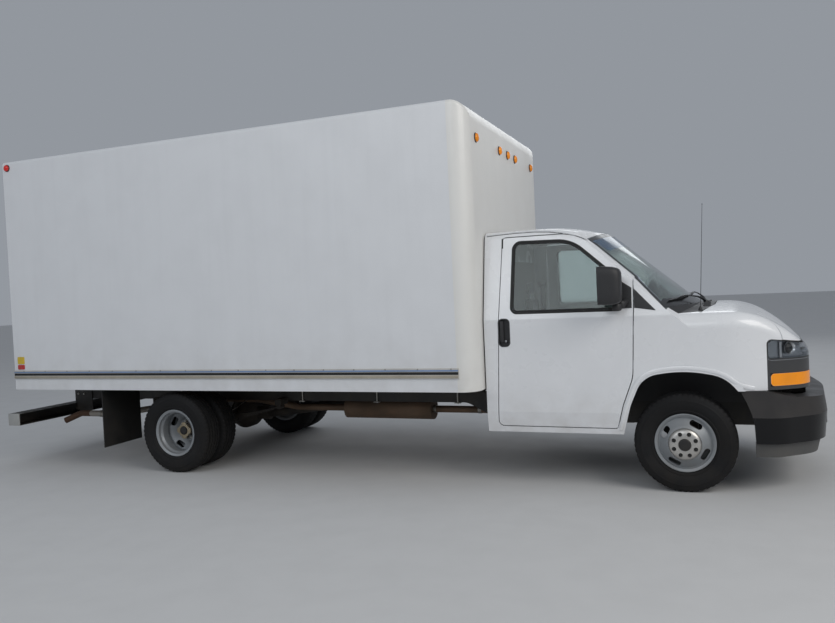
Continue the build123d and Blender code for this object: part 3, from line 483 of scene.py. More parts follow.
below(BUMPER_COAT, "Z", BUMPER_STEP_Z, (0.006, 0.006, 0.007), 0.24)
below(RUSTY_STEEL, "X", X0 + TAILPIPE_X, (0.36, 0.33, 0.29), 0.45)
below(RUSTY_STEEL, "X", X0 + TAIL_END_X, (0.13, 0.075, 0.05), 0.75)
print("finishes", len(bpy.data.materials))

# %% [markdown]
# ## Finding the skin of the truck
# Trim follows curved panels, so its place is found by sending a ray at a panel's mesh and
# taking the point that it hits, with the direction that the surface faces there.

# %% rays onto panels
tree_of = {}


def ray_tree(mesh):
    return BVHTree.FromPolygons([v.co for v in mesh.vertices], [p.vertices for p in mesh.polygons])


def skin(names, origin, direction):
    """Point and outward normal where a ray first meets any of the named CAD nodes."""
    best = None
    for name in names:
        if name not in tree_of:
            tree_of[name] = ray_tree(nodes[name].data)
        hit = tree_of[name].ray_cast(Vector(origin), Vector(direction).normalized())
        if hit[0] is not None and (best is None or hit[3] < best[3]):
            best = hit
    if best is None:
        return None, None
    normal = best[1] if best[1].dot(Vector(direction)) < 0 else -best[1]
    return best[0], normal


def on_side(names, x, z, side):
    """Skin point and normal at (x, z) as seen from one side."""
    return skin(names, spot(x, side * 1.6, z), (0, -side, 0))


def met_only(found):
    """Separate lists of points and normals, without the rays that met nothing."""
    found = [pair for pair in found if pair[0] is not None]
    return [p for p, _ in found], [n for _, n in found]


def side_run(names, points, side):
    return met_only([on_side(names, p[0], p[1], side) for p in points])


def bead(name, look, run, width, height, closed=False, sink=0.0015, body="chassis"):
    """A strip of D-shaped section laid along a run of points and normals."""
    points, normals = run
    count = len(points)
    shape = [(-0.5, -sink), (-0.5, height * 0.4), (-0.3, height * 0.9), (0, height),
             (0.3, height * 0.9), (0.5, height * 0.4), (0.5, -sink)]
    rings = []
    for i, (point, n) in enumerate(zip(points, normals)):
        before = points[i - 1] if closed or i else point
        after = points[(i + 1) % count] if closed or i < count - 1 else point
        way = (after - before).normalized()
        n = (n - way * n.dot(way)).normalized()
        across = way.cross(n)
        rings.append([point + across * u * width + n * h for u, h in shape])
    return add(name, look, skinned(rings, closed), body)


def spaced(points, step, closed=False):
    """Points at even steps along a run of points."""
    points = [Vector(p) for p in points]
    if closed:
        points.append(points[0])
    out = []
    for a, b in zip(points, points[1:]):
        n = max(1, round((b - a).length / step))
        out += [a.lerp(b, i / n) for i in range(n)]
    return out if closed else out + [points[-1]]


def grid_shell(grid, outer, inner, open_front=False):
    """A closed sheet between two lifts from a grid, or a tray that is open towards the front."""
    cols, rows = len(grid), len(grid[0])
    verts = [p + n * lift for lift in (outer, inner) for column in grid for p, n in column]
    faces, half = [], cols * rows
    for i in range(cols - 1):
        for j in range(rows - 1):
            a = i * rows + j
            if not open_front:
                faces.append((a, a + 1, a + rows + 1, a + rows))
            faces.append((a + half, a + rows + half, a + rows + 1 + half, a + 1 + half))
    rim = list(range(rows)) + [i * rows + rows - 1 for i in range(1, cols)]
    rim += [(cols - 1) * rows + j for j in range(rows - 2, -1, -1)] + [i * rows for i in range(cols - 2, 0, -1)]
    faces += [(a, b, b + half, a + half) for a, b in zip(rim, rim[1:] + rim[:1])]
    return verts, faces


print("door skin at the belt", [round(v, 3) for v in on_side(["door_right"], -0.9, 1.2, -1)[0]])

# %% [markdown]
# ## Tyres
# A tyre's outline is bulged at the sidewall and nearly flat across the tread. The tread is four
# zigzag grooves and a row of notches at each shoulder, all cut inwards, so the tyre stays as
# large as its CAD node. The mesh is one profile carried round the axle in small steps; the
# grooves come from moving a few of its points inwards, and sideways in turn for the zigzag.

# %% tyre rubber
TYRE = finish("tyre_rubber", (0.010, 0.010, 0.011), 0.7, 0.25, (0.002, 0.25), (-0.1, 0.75, 0.06), specular=0.25,
              slot="tyre")
PITCHES, STEPS = 56, 6
GROOVE_DEEP, GROOVE_SWING, NOTCH_DEEP = 0.0085, 0.007, 0.006
WALL = [(0.2045, 0.068), (0.2105, 0.0735), (0.2225, 0.0765), (0.2245, 0.092), (0.231, 0.0975), (0.236, 0.099),
        (0.238, 0.1025), (0.243, 0.1035), (0.247, 0.1015), (0.262, 0.1065), (0.28, 0.1105), (0.296, 0.1115),
        (0.312, 0.1107), (0.3135, 0.1117), (0.318, 0.1112), (0.3195, 0.1098), (0.332, 0.107), (0.343, 0.1025),
        (0.352, 0.0975), (0.3605, 0.093), (0.366, 0.0888), (0.3685, 0.085)]


def tyre_profile():
    """Half of the outline as (radius, y, zigzag share), from bead to middle."""
    half = [(r, y, 0) for r, y in WALL]
    for edge in (0.058, 0.020):
        top = 0.372 - 0.9 * edge ** 2
        if edge == 0.058:
            half.append((top - 0.0006, 0.070, 0))
        half += [(top, edge + 0.0055, 1), (top - GROOVE_DEEP, edge + 0.0035, 1),
                 (top - GROOVE_DEEP, edge - 0.0035, 1), (top, edge - 0.0055, 1), (top, edge - 0.019, 0)]
    return half


def tyre_shape(y):
    half = tyre_profile()
    profile = [(r, -v, share) for r, v, share in half] + [(r, v, share) for r, v, share in reversed(half)]
    rings, total = [], PITCHES * STEPS
    for i in range(total):
        c, s, phase = math.cos(math.tau * i / total), math.sin(math.tau * i / total), i % STEPS
        swing = (abs(phase - 3) / 3 - 0.5) * GROOVE_SWING
        ring = []
        for r, v, share in profile:
            if phase in (1, 2) and 0.0845 < abs(v) < 0.1 and r > 0.355:
                r -= NOTCH_DEEP
            ring.append((r * c, y + v + swing * share, r * s))
        rings.append(ring)
    return skinned(rings, closed=True)


for side, sign in SIDES.items():
    for corner, node_name, offsets in (("front", "front_tyre", (0.868,)), ("rear", "rear_tyres", (1.095, 0.8307))):
        hub_at = JOINT_AT[f"wheel_{corner}_{side}_spin"]
        verts, faces = joined([tyre_shape(sign * y) for y in offsets])
        piece = add(f"{corner}_tyre_tread_{side}", TYRE, (moved(verts, (hub_at.x, 0, hub_at.z)), faces),
                    f"wheel_{corner}_{side}")
        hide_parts(f"{node_name}_{side}")
print("tyre faces", len(piece.data.polygons))

# %% [markdown]
# ## Wheel nuts and covers
# Each front wheel wears a bright cover with eight holes, one over each nut, round a dark cap.
# The cover is one turned shell; its holes are made with a boolean, which is the plain way to
# cut a round hole through a curved sheet. The rear hub has a scalloped flange instead.

# %% front wheel covers
NUT_CIRCLE, NUT_COUNT, PLATE_FACE = 0.0825, 8, 1.0
COVER_BRIGHT = finish("brushed_wheel_cover", (0.60, 0.585, 0.56), 0.3, 0.1, (0.0014, 0.1), (0.0, 0.8, 0.25),
                      metallic=0.9, slot="wheel_steel")
COVER = [(0.046, 0.030), (0.046, 0.0335), (0.062, 0.0345), (0.082, 0.0325), (0.098, 0.028), (0.110, 0.020),
         (0.117, 0.011), (0.119, 0.004), (0.116, 0.004), (0.113, 0.010), (0.107, 0.017), (0.096, 0.024),
         (0.081, 0.028), (0.062, 0.030)]
FRONT_CAP = [(0, 0.047), (0.030, 0.0462), (0.040, 0.0435), (0.0445, 0.038), (0.0455, 0.028), (0, 0.028)]
HOLE = [(0, -0.01), (0.0155, -0.01), (0.0155, 0.06), (0, 0.06)]


def nut(centre, out, length, across=0.0165):
    """A hex nut with a chamfered end, its axis along y."""
    x, y, z = centre
    steps = ((0, 1.12), (0.003, 1.12), (0.0032, 1), (length - 0.004, 1), (length, 0.74))
    turns = [math.radians(60 * k + 10) for k in range(6)]
    return skinned([[(x + across * grow * math.cos(a), y + out * along, z + across * grow * math.sin(a))
                     for a in turns] for along, grow in steps])


def bolt_circle(centre, radius=NUT_CIRCLE):
    """Eight places round a wheel's axle."""
    turns = [math.radians(22.5 + k * 360 / NUT_COUNT) for k in range(NUT_COUNT)]
    return [centre + Vector((radius * math.cos(a), 0, radius * math.sin(a))) for a in turns]


def cut_holes(piece, shape):
    """Cut a piece with a second closed mesh."""
    cutter = new_object("cutter", mesh_of("cutter", *shape, merge=False))
    modifier = piece.modifiers.new("holes", "BOOLEAN")
    modifier.operation, modifier.object, modifier.solver = "DIFFERENCE", cutter, "EXACT"
    settle(piece)
    bpy.data.objects.remove(cutter)
    smoothed(piece)


for side, sign in SIDES.items():
    body = f"wheel_front_{side}"
    hub_at = JOINT_AT[f"{body}_spin"]
    base = Vector((hub_at.x, sign * PLATE_FACE, hub_at.z))
    cover = add(f"wheel_cover_{side}", COVER_BRIGHT, turned(COVER, 96, at=base, flip=sign), body)
    hole_y = Vector((0, min(0, sign * 0.05), 0))
    cut_holes(cover, joined([turned(HOLE, 20, at=place + hole_y) for place in bolt_circle(base)]))
    nuts = [nut(place, sign, 0.026, 0.0125) for place in bolt_circle(base)]
    add(f"wheel_nuts_front_{side}", CAP_BLACK, joined(nuts), body)
    add(f"wheel_cap_{side}", CAP_BLACK, turned(FRONT_CAP, 64, at=base, flip=sign), body)
print("covers with", NUT_COUNT, "holes each")

# %% rear hub flanges and nuts
HUB_BRONZE = finish("weathered_hub_flange", (0.40, 0.33, 0.22), 0.42, 0.35, (0.002, 0.35), (0.0, 0.8, 0.2),
                    metallic=0.6, slot="hub_iron")
REAR_FACE, FLANGE_Y = 0.971, 1.045
REAR_CAP = [(0, 0.026), (0.025, 0.025), (0.038, 0.021), (0.042, 0.014), (0.043, 0.0), (0, 0.0)]


def rounded_power(value, power):
    return math.copysign(abs(value) ** power, value)


lobes = []
for a in (math.tau * k / 96 for k in range(96)):
    r = 0.070 + 0.0085 * rounded_power(math.cos(4 * a), 0.6)
    lobes.append((r * math.cos(a), r * math.sin(a)))
for side, sign in SIDES.items():
    body = f"wheel_rear_{side}"
    hub_at = JOINT_AT[f"{body}_spin"]

    def on_hub(x, y, z):
        return Vector((hub_at.x + x, sign * y, hub_at.z + z))

    flange = plate(lobes, 0.012, lambda u, v, d: on_hub(u, FLANGE_Y + 0.002 + d, v))
    add(f"rear_hub_flange_{side}", HUB_BRONZE, flange, body, bevel=(0.002, 2))
    cap = turned(REAR_CAP, 48, at=on_hub(0, FLANGE_Y, 0), flip=sign)
    add(f"rear_hub_cap_{side}", CAP_BLACK, cap, body)
    nuts = [nut(place, sign, 0.026, 0.0165) for place in bolt_circle(on_hub(0, REAR_FACE, 0))]
    nuts += [nut(place, sign, 0.006, 0.0055) for place in bolt_circle(on_hub(0, FLANGE_Y + 0.013, 0), 0.058)]
    add(f"wheel_nuts_rear_{side}", BOLT_ZINC, joined(nuts), body)
    stem = [on_hub(0.168, 0.985, -0.06), on_hub(0.150, 1.04, -0.052), on_hub(0.148, 1.07, -0.052)]
    add(f"valve_stem_rear_{side}", CAP_BLACK, tube(stem, [0.0045, 0.0035, 0.0045]), body)
print("rear hubs done")

# %% [markdown]
# ## Window glass, rubbers and the windshield's black edge
# Glass is clear with a faint green tint. The windshield has a black printed edge and a blue band
# at its top. Both are thin strips that lie on the glass, so they are cut from a grid of points
# found on the windshield itself.

# %% glass
finish("clear_glass", (0.70, 0.80, 0.77), 0.02, 0.0, (0.05, 0.0), None, transmission=1.0, ior=1.45,
       on="windshield door_glass_left door_glass_right")
SHADE_BLUE = finish("blue_shade_band", (0.10, 0.22, 0.42), 0.08, 0.1, (0.05, 0.0), None, transmission=0.75,
                    ior=1.45, slot="clear_glass")
MIRROR_GLASS = finish("mirror_glass", (0.75, 0.77, 0.78), 0.03, 0.03, (0.05, 0.0), None, metallic=1.0,
                      slot="black_plastic")
WINDOW = [(-1.277, 1.384), (-1.262, 1.948), (-0.800, 1.938), (-0.425, 1.603), (-0.425, 1.384)]
window_path = spaced(rounded_outline(WINDOW, [0.045, 0.060, 0.300, 0.030, 0.020], 8), 0.03, closed=True)
window_path = [p for k, p in enumerate(window_path) if (p - window_path[k - 1]).length > 1e-4]


def inwards(path, reach=1):
    """At each point of a closed 2-D path, the direction to its left."""
    n = len(path)
    ways = [(path[(k + reach) % n] - path[k - reach]).normalized() for k in range(n)]
    return [Vector((-way.y, way.x)) for way in ways]


for side, sign in SIDES.items():
    names = [f"door_{side}", f"door_glass_{side}"]
    for label, offset, wide, high in (("outer", 0.004, 0.016, 0.004), ("inner", -0.011, 0.013, 0.006)):
        path = [p + way * offset for p, way in zip(window_path, inwards(window_path))]
        bead(f"window_rubber_{label}_{side}", SEAL_RUBBER, side_run(names, path, sign), wide, high, closed=True,
             body=f"door_{side}")
print("window rubber points", len(window_path))

# %% windshield edge and blue band
RAKE, SLOPE = math.radians(49.5), 0.80
FRIT_OUTER, FRIT_INNER = 0.004, 0.042


def on_windshield(y, share):
    """A point on the windshield, share 0 at its foot and 1 at its top, for a given y."""
    return skin(["windshield"], spot(0.60 - share * 0.61, y, 1.42 + share * 0.515),
                (-math.sin(RAKE), 0, -math.cos(RAKE)))


def farthest(meets, near, far, rounds):
    """Halve the gap between a distance that meets and one that doesn't."""
    for _ in range(rounds):
        middle = (near + far) / 2
        near, far = (middle, far) if meets(middle) else (near, middle)
    return near, far


def glass_edge():
    """The windshield's outline in (y, share * SLOPE), found by stepping out from its middle."""
    out = []
    for k in range(180):
        angle = math.tau * k / 180
        way = Vector((math.cos(angle) * 0.96, math.sin(angle) * 0.8))
        reach, _ = farthest(lambda r: on_windshield(way.x * r, 0.95 + way.y * r)[0] is not None, 0.2, 1.6, 14)
        out.append(Vector((way.x * reach, (0.95 + way.y * reach) * SLOPE)))
    return out


edge_path = glass_edge()


def inset(amount_at):
    return [p + way * amount_at(way.y) for p, way in zip(edge_path, inwards(edge_path, 2))]


def film(name, look, outer, inner, lift, across=3):
    """A thin strip on the windshield between two closed runs."""
    verts, index, faces = [], {}, []
    for j in range(across + 1):
        for k, (a, b) in enumerate(zip(outer, inner)):
            for share in (j / across, min(1, j / across + 0.15)):
                p = a.lerp(b, share)
                point, normal = on_windshield(p.x, p.y / SLOPE)
                if point is not None:
                    index[j, k] = len(verts)
                    verts.append(point + normal * lift)
                    break
    for j in range(across):
        for k in range(len(outer)):
            after = (k + 1) % len(outer)
            corners = [(j, k), (j, after), (j + 1, after), (j + 1, k)]
            if all(corner in index for corner in corners):
                faces.append(tuple(index[corner] for corner in corners))
    return add(name, look, (verts, faces))


frit_inner = inset(lambda rise: FRIT_INNER + 0.045 * max(0.0, rise) ** 2)
film("windshield_black_edge", GLOSS_BLACK, inset(lambda rise: FRIT_OUTER), frit_inner, 0.0006)
band_edge = inset(lambda rise: FRIT_INNER + 0.14 * max(0.0, -rise) ** 3)
film("windshield_shade_band", SHADE_BLUE, frit_inner, band_edge, 0.0005)
print("windshield edge points", len(edge_path))

# %% [markdown]
# ## Small parts on the sides
# Some trim is a thin panel that lies on the skin: the black triangle behind the mirror and the
# reflectors. Each is made between two runs of points seen from the side, and every point is
# laid on the skin and lifted a little.

# %% panels laid on the skin
QUARTERS = (0, 0.25, 0.5, 0.75, 1)


def side_panel(name, look, names, first, second, side, thick=0.003, across=4, body="chassis"):
    """A thin panel on a side wall between two runs of points (x, z) of the same length."""
    grid = [[on_side(names, *Vector(a).lerp(Vector(b), j / across), side) for j in range(across + 1)]
            for a, b in zip(first, second)]
    return add(name, look, grid_shell(grid, thick, -0.001), body)


def round_dip(from_end, radius):
    """How far a rounded corner has fallen back at a distance from the end."""
    return radius - math.sqrt(max(radius ** 2 - max(radius - from_end, 0) ** 2, 0))


def oval_rows(x, z, wide, high, radius, steps=8):
    """Upper and lower runs of a rounded rectangle, for side_panel."""
    xs = [x - wide / 2 + radius * (1 - math.cos(math.pi / 2 * k / steps)) for k in range(steps + 1)]
    xs += [2 * x - v for v in reversed(xs)]
    dips = [round_dip(min(v - (x - wide / 2), (x + wide / 2) - v), radius) for v in xs]
    return [[(v, z + up * (high / 2 - dip)) for v, dip in zip(xs, dips)] for up in (1, -1)]


def reflector(name, colour):
    return finish(name, colour, 0.25, grain=(0.0016, 0.5), dust=(0.8, 1.3, 0.15), coat=0.7, slot="lamp_amber")


REFLECTORS = (("amber", reflector("amber_reflector", (0.75, 0.52, 0.02)), 1.072, 0.072),
              ("red", reflector("red_reflector", (0.55, 0.02, 0.02)), 1.004, 0.046))
for side, sign in SIDES.items():
    low_edge = [(-0.328 + 0.155 * t, 1.394 - 0.024 * t) for t in QUARTERS]
    top_edge = [(-0.328 + 0.155 * t, 1.538 - 0.166 * t) for t in QUARTERS]
    side_panel(f"corner_trim_{side}", BLACK_PLASTIC, ["fenders"], top_edge, low_edge, sign)
    for label, look, z, high in REFLECTORS:
        side_panel(f"side_reflector_{label}_{side}", look, ["box_sides"],
                   *oval_rows(-6.342, z, 0.088, high, 0.008, 4), sign, thick=0.006)
print("side panels placed")

# %% [markdown]
# ## Lamps
# A round marker lamp is a thin base ring with a domed lens. The lens is a turned shape with
# fine rings moulded into it, in amber or red plastic; its faint glow is painted light that brightens the lens.

# %% marker lamps
# The emission on these lenses is painted light: a faint glow that brightens their colour.
AMBER = finish("amber_lens", (0.88, 0.27, 0.003), 0.2, 0.25, (0.004, 0.15), (0.7, 1.2, 0.05), coat=0.3,
               emission=((1.0, 0.30, 0.0), 0.15), slot="lamp_amber")
RED_LENS = finish("red_lens", (0.55, 0.015, 0.01), 0.15, 0.1, (0.004, 0.15), (0.7, 1.2, 0.05), coat=0.5,
                  emission=((0.8, 0.02, 0.01), 0.12), slot="lamp_amber")
CLEAR_LENS = finish("clear_lens", (0.92, 0.94, 0.95), 0.04, 0.0, (0.05, 0.0), None, transmission=1.0, ior=1.3,
                    slot="lamp_clear")
MARKERS, MARKER_Z = (-0.97, -0.26, 0.02, 0.29, 0.93), 2.81


def facing(way):
    """The turn that points the y axis along a direction."""
    return Vector((0, 1, 0)).rotation_difference(Vector(way)).to_matrix()


def round_lamp(name, look, place, out, radius):
    """A round lamp with its axis along out, standing on place."""
    base = [(0, 0), (radius * 1.12, 0), (radius * 1.12, 0.004), (radius, 0.008), (0, 0.008)]
    add(name + "_base", BLACK_PLASTIC, turned(base, 40, at=place, turn=facing(out)))
    dome = [(0, 0.006), (radius * 0.97, 0.006)]
    for k in range(9):
        a = math.radians(10 * k)
        dome.append((radius * 0.97 * math.cos(a) + (0.0008 if k % 2 else 0), 0.012 + 0.016 * math.sin(a)))
    dome.append((0, 0.028))
    add(name, look, turned(dome, 40, at=place, turn=facing(out)))


for number, y in enumerate(MARKERS):
    place, normal = skin(["box_front"], spot(1, y, MARKER_Z), BACKWARD)
    round_lamp(f"front_marker_{number}", AMBER, place, normal, 0.036)
print("front markers", len(MARKERS))

# %% [markdown]
# ## Headlamps and turn lamps
# The lamps wrap round the corner of the nose. Rays aimed at a centre inside the corner find the
# lamp's outer skin, and the lens is that skin with a few millimetres of thickness. Behind it
# stands a tray with a bright rib and a dark bulb shield, which is what shows through the lens.

# %% lenses that follow the corner
# The emission on this lens is painted light: a faint glow that brightens the amber.
LENS_AMBER = finish("amber_turn_lens", (0.90, 0.29, 0.002), 0.2, 0.25, (0.003, 0.12), None, coat=0.3,
                    emission=((1.0, 0.33, 0.0), 0.16), slot="lamp_amber")
TRAY_SILVER = finish("lamp_tray_silver", (0.36, 0.38, 0.41), 0.24, 0.1, (0.02, 0.02), None, metallic=0.85,
                     slot="lamp_clear")
BEZEL_COAT = finish("satin_bezel_coat", (0.048, 0.049, 0.052), 0.33, grain=(0.0013, 0.15), dust=(0.5, 1.1, 0.12),
                    slot="black_plastic", on="grille")
CORNER = 0.52
BOWL = [(0.0, 0.0), (0.024, 0.0), (0.036, 0.006), (0.044, 0.017), (0.046, 0.017), (0.038, 0.004),
        (0.026, -0.003), (0.0, -0.003)]
SHIELD = [(0.0, 0.014), (0.014, 0.013), (0.026, 0.009), (0.031, 0.004), (0.031, 0.0), (0.0, 0.0)]


def corner_hit(names, angle, z, side):
    """Skin point and normal round the corner; angle 0 looks from the front and 90 from the side."""
    way = Vector((math.cos(math.radians(angle)), side * math.sin(math.radians(angle)), 0))
    middle = spot(CORNER, side * CORNER, z)
    point, normal = skin(names, middle + way * 1.2, -way)
    return (None, None) if point is None or (point - middle).dot(way) < 0 else (point, normal)


def lamp_grid(name, side, low, high_at, cols, rows, end_radius=0.0, margin=0.0015):
    """Rows of points and normals over a lamp, from its front end to its side end."""
    met = [a / 4 for a in range(440) if corner_hit([name], a / 4, low + 0.03, side)[0] is not None]
    first, last = min(met) + 0.15, max(met) - 0.15
    end, _ = corner_hit([name], last, low + 0.03, side)
    grid = []
    for i in range(cols + 1):
        angle = first + (last - first) * i / cols
        at, _ = corner_hit([name], angle, low + 0.03, side)
        dip = round_dip((at - end).length - 0.004, end_radius) if end_radius else 0.0
        bottom, top = low + margin + dip, high_at(at.x - X0) - margin - dip
        column = []
        for j in range(rows + 1):
            point, normal = corner_hit([name], angle, bottom + (top - bottom) * j / rows, side)
            if point is None:
                point, normal = column[-1][0] + UP * 1e-4, column[-1][1]
            column.append((point, normal))
        grid.append(column)
    return grid


def rim_of(grid, lift):
    """The closed run of points and normals round a grid's edge."""
    whole = grid[0] + [c[-1] for c in grid[1:]] + grid[-1][-2::-1] + [c[0] for c in reversed(grid[1:-1])]
    whole = [(p + n * lift, n) for p, n in whole]
    keep = [whole[0]]
    for item in whole[1:]:
        if (item[0] - keep[-1][0]).length > 0.002:
            keep.append(item)
    return met_only(keep)


def headlamp_top(x):
    return 1.137 - 0.057 * max(0.0, (x - 0.574) / 0.366)


for side, sign in SIDES.items():
    lamp_low = node_box("headlamps")[0].z
    grid = lamp_grid("headlamps", sign, lamp_low, headlamp_top, 34, 8, end_radius=0.022)
    lens = add(f"headlamp_lens_{side}", CLEAR_LENS, grid_shell(grid, 0.0, -0.003))
    if side == "right":
        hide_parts("headlamps")
    tray_grid = lamp_grid("headlamps", sign, lamp_low, headlamp_top, 34, 8)
    add(f"headlamp_tray_{side}", TRAY_SILVER, grid_shell(tray_grid, -0.0035, -0.042, open_front=True))
    bead(f"headlamp_seal_{side}", SEAL_RUBBER, rim_of(grid, -0.001), 0.006, 0.0015, closed=True)
    rib_at, out = on_side(["headlamps"], 0.686, 1.03, sign)
    across = UP.cross(out).normalized()
    arc = [(0.013 * math.cos(math.pi * k / 12), 0.013 * math.sin(math.pi * k / 12)) for k in range(13)]
    rib = [[rib_at - out * 0.036 + across * u + out * v + UP * z for u, v in arc] for z in (-0.036, 0.078)]
    add(f"headlamp_rib_{side}", TRIM_CHROME, skinned(rib))
    bulb_at, out = on_side(["headlamps"], 0.742, 1.062, sign)
    bowl = turned(BOWL, 40, at=bulb_at - out * 0.034, turn=facing(out))
    add(f"headlamp_bowl_{side}", TRIM_CHROME, bowl)
    add(f"bulb_shield_{side}", CAP_BLACK, turned(SHIELD, 40, at=bulb_at - out * 0.030, turn=facing(out)))
print("headlamps have", len(grid), "columns of points")

# %% turn lamps
for side, sign in SIDES.items():
    low, high = node_box("turn_lamps")
    square = lamp_grid("turn_lamps", sign, low.z, lambda x: high.z, 30, 4)
    body = add(f"turn_lamp_body_{side}", CAP_BLACK, grid_shell(square, -0.006, -0.045))
    if side == "right":
        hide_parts("turn_lamps")
    grid = lamp_grid("turn_lamps", sign, low.z, lambda x: high.z, 60, 6, end_radius=0.02, margin=0.004)
    lens = [[(p + n * (0.0007 if i % 2 else 0), n) for p, n in column] for i, column in enumerate(grid)]
    add(f"turn_lamp_lens_{side}", LENS_AMBER, grid_shell(lens, 0.002, -0.005))
    bead(f"turn_lamp_trim_{side}", TRIM_CHROME, rim_of(grid, 0.0), 0.0028, 0.0024, closed=True)
    line = met_only([corner_hit(["grille", "headlamps"], a, 0.981, sign) for a in range(14, 82, 2)])
    bead(f"headlamp_line_{side}", TRIM_CHROME, line, 0.003, 0.0012)
print("turn lamps placed")

# %% [markdown]
# ## Grille
# Only the grille's outer end shows in the photograph, so the rest is a plain guess: four wide
# openings with a fine mesh of fins behind them, and a thin raised lip round each opening.

# %% grille fins and lips
OPENING_Z = (0.8225, 0.8875, 0.9525, 1.0175)
fins = []
for z in OPENING_Z:
    for y in (k * 0.021 for k in range(-27, 28)):
        x = 0.84 - 0.05 * (y / 0.575) ** 2
        fins.append(slab(spot(x - 0.03, y - 0.0016, z - 0.022), spot(x, y + 0.0016, z + 0.022)))
for z in (middle + step for middle in OPENING_Z for step in (-0.015, 0, 0.015)):
    for k in range(-14, 14):
        y0, y1 = k * 0.0411, (k + 1) * 0.0411
        x = 0.83 - 0.05 * ((y0 + y1) / 2 / 0.575) ** 2
        fins.append(slab(spot(x - 0.012, y0, z - 0.0012), spot(x, y1, z + 0.0012)))
add("grille_fins", BLACK_PLASTIC, joined(fins), smooth=False)
for number, z in enumerate((0.797, 0.848, 0.862, 0.913, 0.927, 0.978, 0.992, 1.043)):
    run = met_only([skin(["grille"], spot(1.4, k * 0.0567 - 0.567, z), BACKWARD) for k in range(21)])
    bead(f"grille_lip_{number}", BEZEL_COAT, run, 0.006, 0.003)
baffles = [slab(spot(0.735, sign * 0.437, 0.700), spot(0.739, sign * 0.600, 1.040)) for sign in (-1, 1)]
add("radiator_baffles", BLACK_PLASTIC, joined(baffles), smooth=False)
print("grille fins", len(fins))

# %% [markdown]
# ## Door hardware, mirrors and the trim round the cab
# The handle sits in a black cup in the door. The mirror is a rounded box on a short arm, with a
# large glass and a small wide-angle one below it, and a black corner panel on the door.

# %% handle cups
FACE = 1.006
LOCK = [(0, -0.016), (0.011, -0.016), (0.011, -0.004), (0.0085, -0.001), (0.004, -0.001), (0.0035, -0.003),
        (0, -0.003)]
cup_outer = rounded_outline(rect(-1.388, 1.114, -1.291, 1.341), 0.036, 8)
cup_edge = rounded_outline(rect(-1.383, 1.119, -1.296, 1.336), 0.030, 8)
cup_inner = rounded_outline(rect(-1.379, 1.123, -1.300, 1.332), 0.027, 8)
for side, sign in SIDES.items():
    def door_at(lift):
        return lambda u, v, d: spot(u, sign * (FACE + lift + d), v)

    cup = [band(cup_outer, cup_inner, 0.0045, door_at(-0.002)), band(cup_edge, cup_inner, 0.017, door_at(-0.018)),
           plate(cup_edge, 0.002, door_at(-0.0195))]
    add(f"handle_cup_{side}", BLACK_PLASTIC, joined(cup), f"door_{side}")
    lever = plate(rounded_outline(rect(-1.374, 1.150, -1.343, 1.322), 0.011, 6), 0.011, door_at(-0.009))
    add(f"door_handle_{side}", BLACK_PLASTIC, lever, f"door_{side}", bevel=(0.004, 3))
    lock = turned(LOCK, 28, at=spot(-1.327, sign * FACE, 1.160), flip=sign)
    add(f"door_lock_{side}", TRIM_CHROME, lock, f"door_{side}")
print("handle cups placed")

# %% mirrors
MIRROR_SECTIONS = [(-0.548, 0.086, 0.132, 7), (-0.560, 0.088, 0.134, 7), (-0.561, 0.0935, 0.142, 7),
                   (-0.545, 0.094, 0.1432, 6), (-0.500, 0.093, 0.143, 6), (-0.455, 0.089, 0.140, 5),
                   (-0.425, 0.082, 0.133, 4.5), (-0.406, 0.070, 0.121, 4), (-0.397, 0.050, 0.102, 3.5),
                   (-0.394, 0.024, 0.070, 3)]
MIRROR_FOOT = [(0, 0), (0.031, 0), (0.034, 0.006), (0.033, 0.04), (0.028, 0.052), (0, 0.052)]
MIRROR_KNUCKLE = [(0, 0), (0.024, 0.002), (0.027, 0.01), (0.027, 0.05), (0.022, 0.058), (0, 0.06)]
MIRROR_Y = 1.156


def rounded_ring(centre, half_y, half_z, power, count=48):
    """A rounded rectangle of points in a plane across x."""
    turns = [math.tau * k / count for k in range(count)]
    return [Vector(centre) + Vector((0, half_y * rounded_power(math.cos(a), 2 / power),
                                     half_z * rounded_power(math.sin(a), 2 / power))) for a in turns]


for side, sign in SIDES.items():
    body = f"door_{side}"
    rings = [rounded_ring(spot(x, sign * MIRROR_Y, 1.5715 - 0.006 * (x + 0.56) / 0.16), half_y, half_z, power)
             for x, half_y, half_z, power in MIRROR_SECTIONS]
    arm = tube([spot(-0.385, sign * 0.985, 1.440), spot(-0.392, sign * 1.02, 1.436),
                spot(-0.410, sign * 1.068, 1.420), spot(-0.440, sign * 1.110, 1.405)],
               [0.024, 0.023, 0.021, 0.021], 20)
    shapes = [skinned(rings), turned(MIRROR_FOOT, 28, "Z", spot(-0.440, sign * 1.110, 1.380)),
              turned(MIRROR_KNUCKLE, 28, "Z", spot(-0.410, sign * 1.068, 1.392)), arm]
    housing = add(f"mirror_housing_{side}", BLACK_PLASTIC, joined(shapes), body)
    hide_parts(f"mirror_{side}")
    low_edge = [(-0.425 + 0.08 * t, 1.393) for t in QUARTERS]
    top_edge = [(-0.425 + 0.08 * t, 1.600 - 0.055 * t) for t in QUARTERS]
    side_panel(f"mirror_sail_{side}", BLACK_PLASTIC, [body, f"door_glass_{side}"], top_edge, low_edge, sign,
               thick=0.006, body=body)
    for label, z, high in (("main", 1.609, 0.185), ("wide", 1.478, 0.062)):
        shape = plate(rounded_outline(rect(-0.078, -high / 2, 0.078, high / 2), 0.018, 6), 0.003,
                      lambda u, v, d: spot(-0.5485 - d, sign * (MIRROR_Y + u), z + v))
        add(f"mirror_glass_{label}_{side}", MIRROR_GLASS, shape, body)
print("mirrors placed")
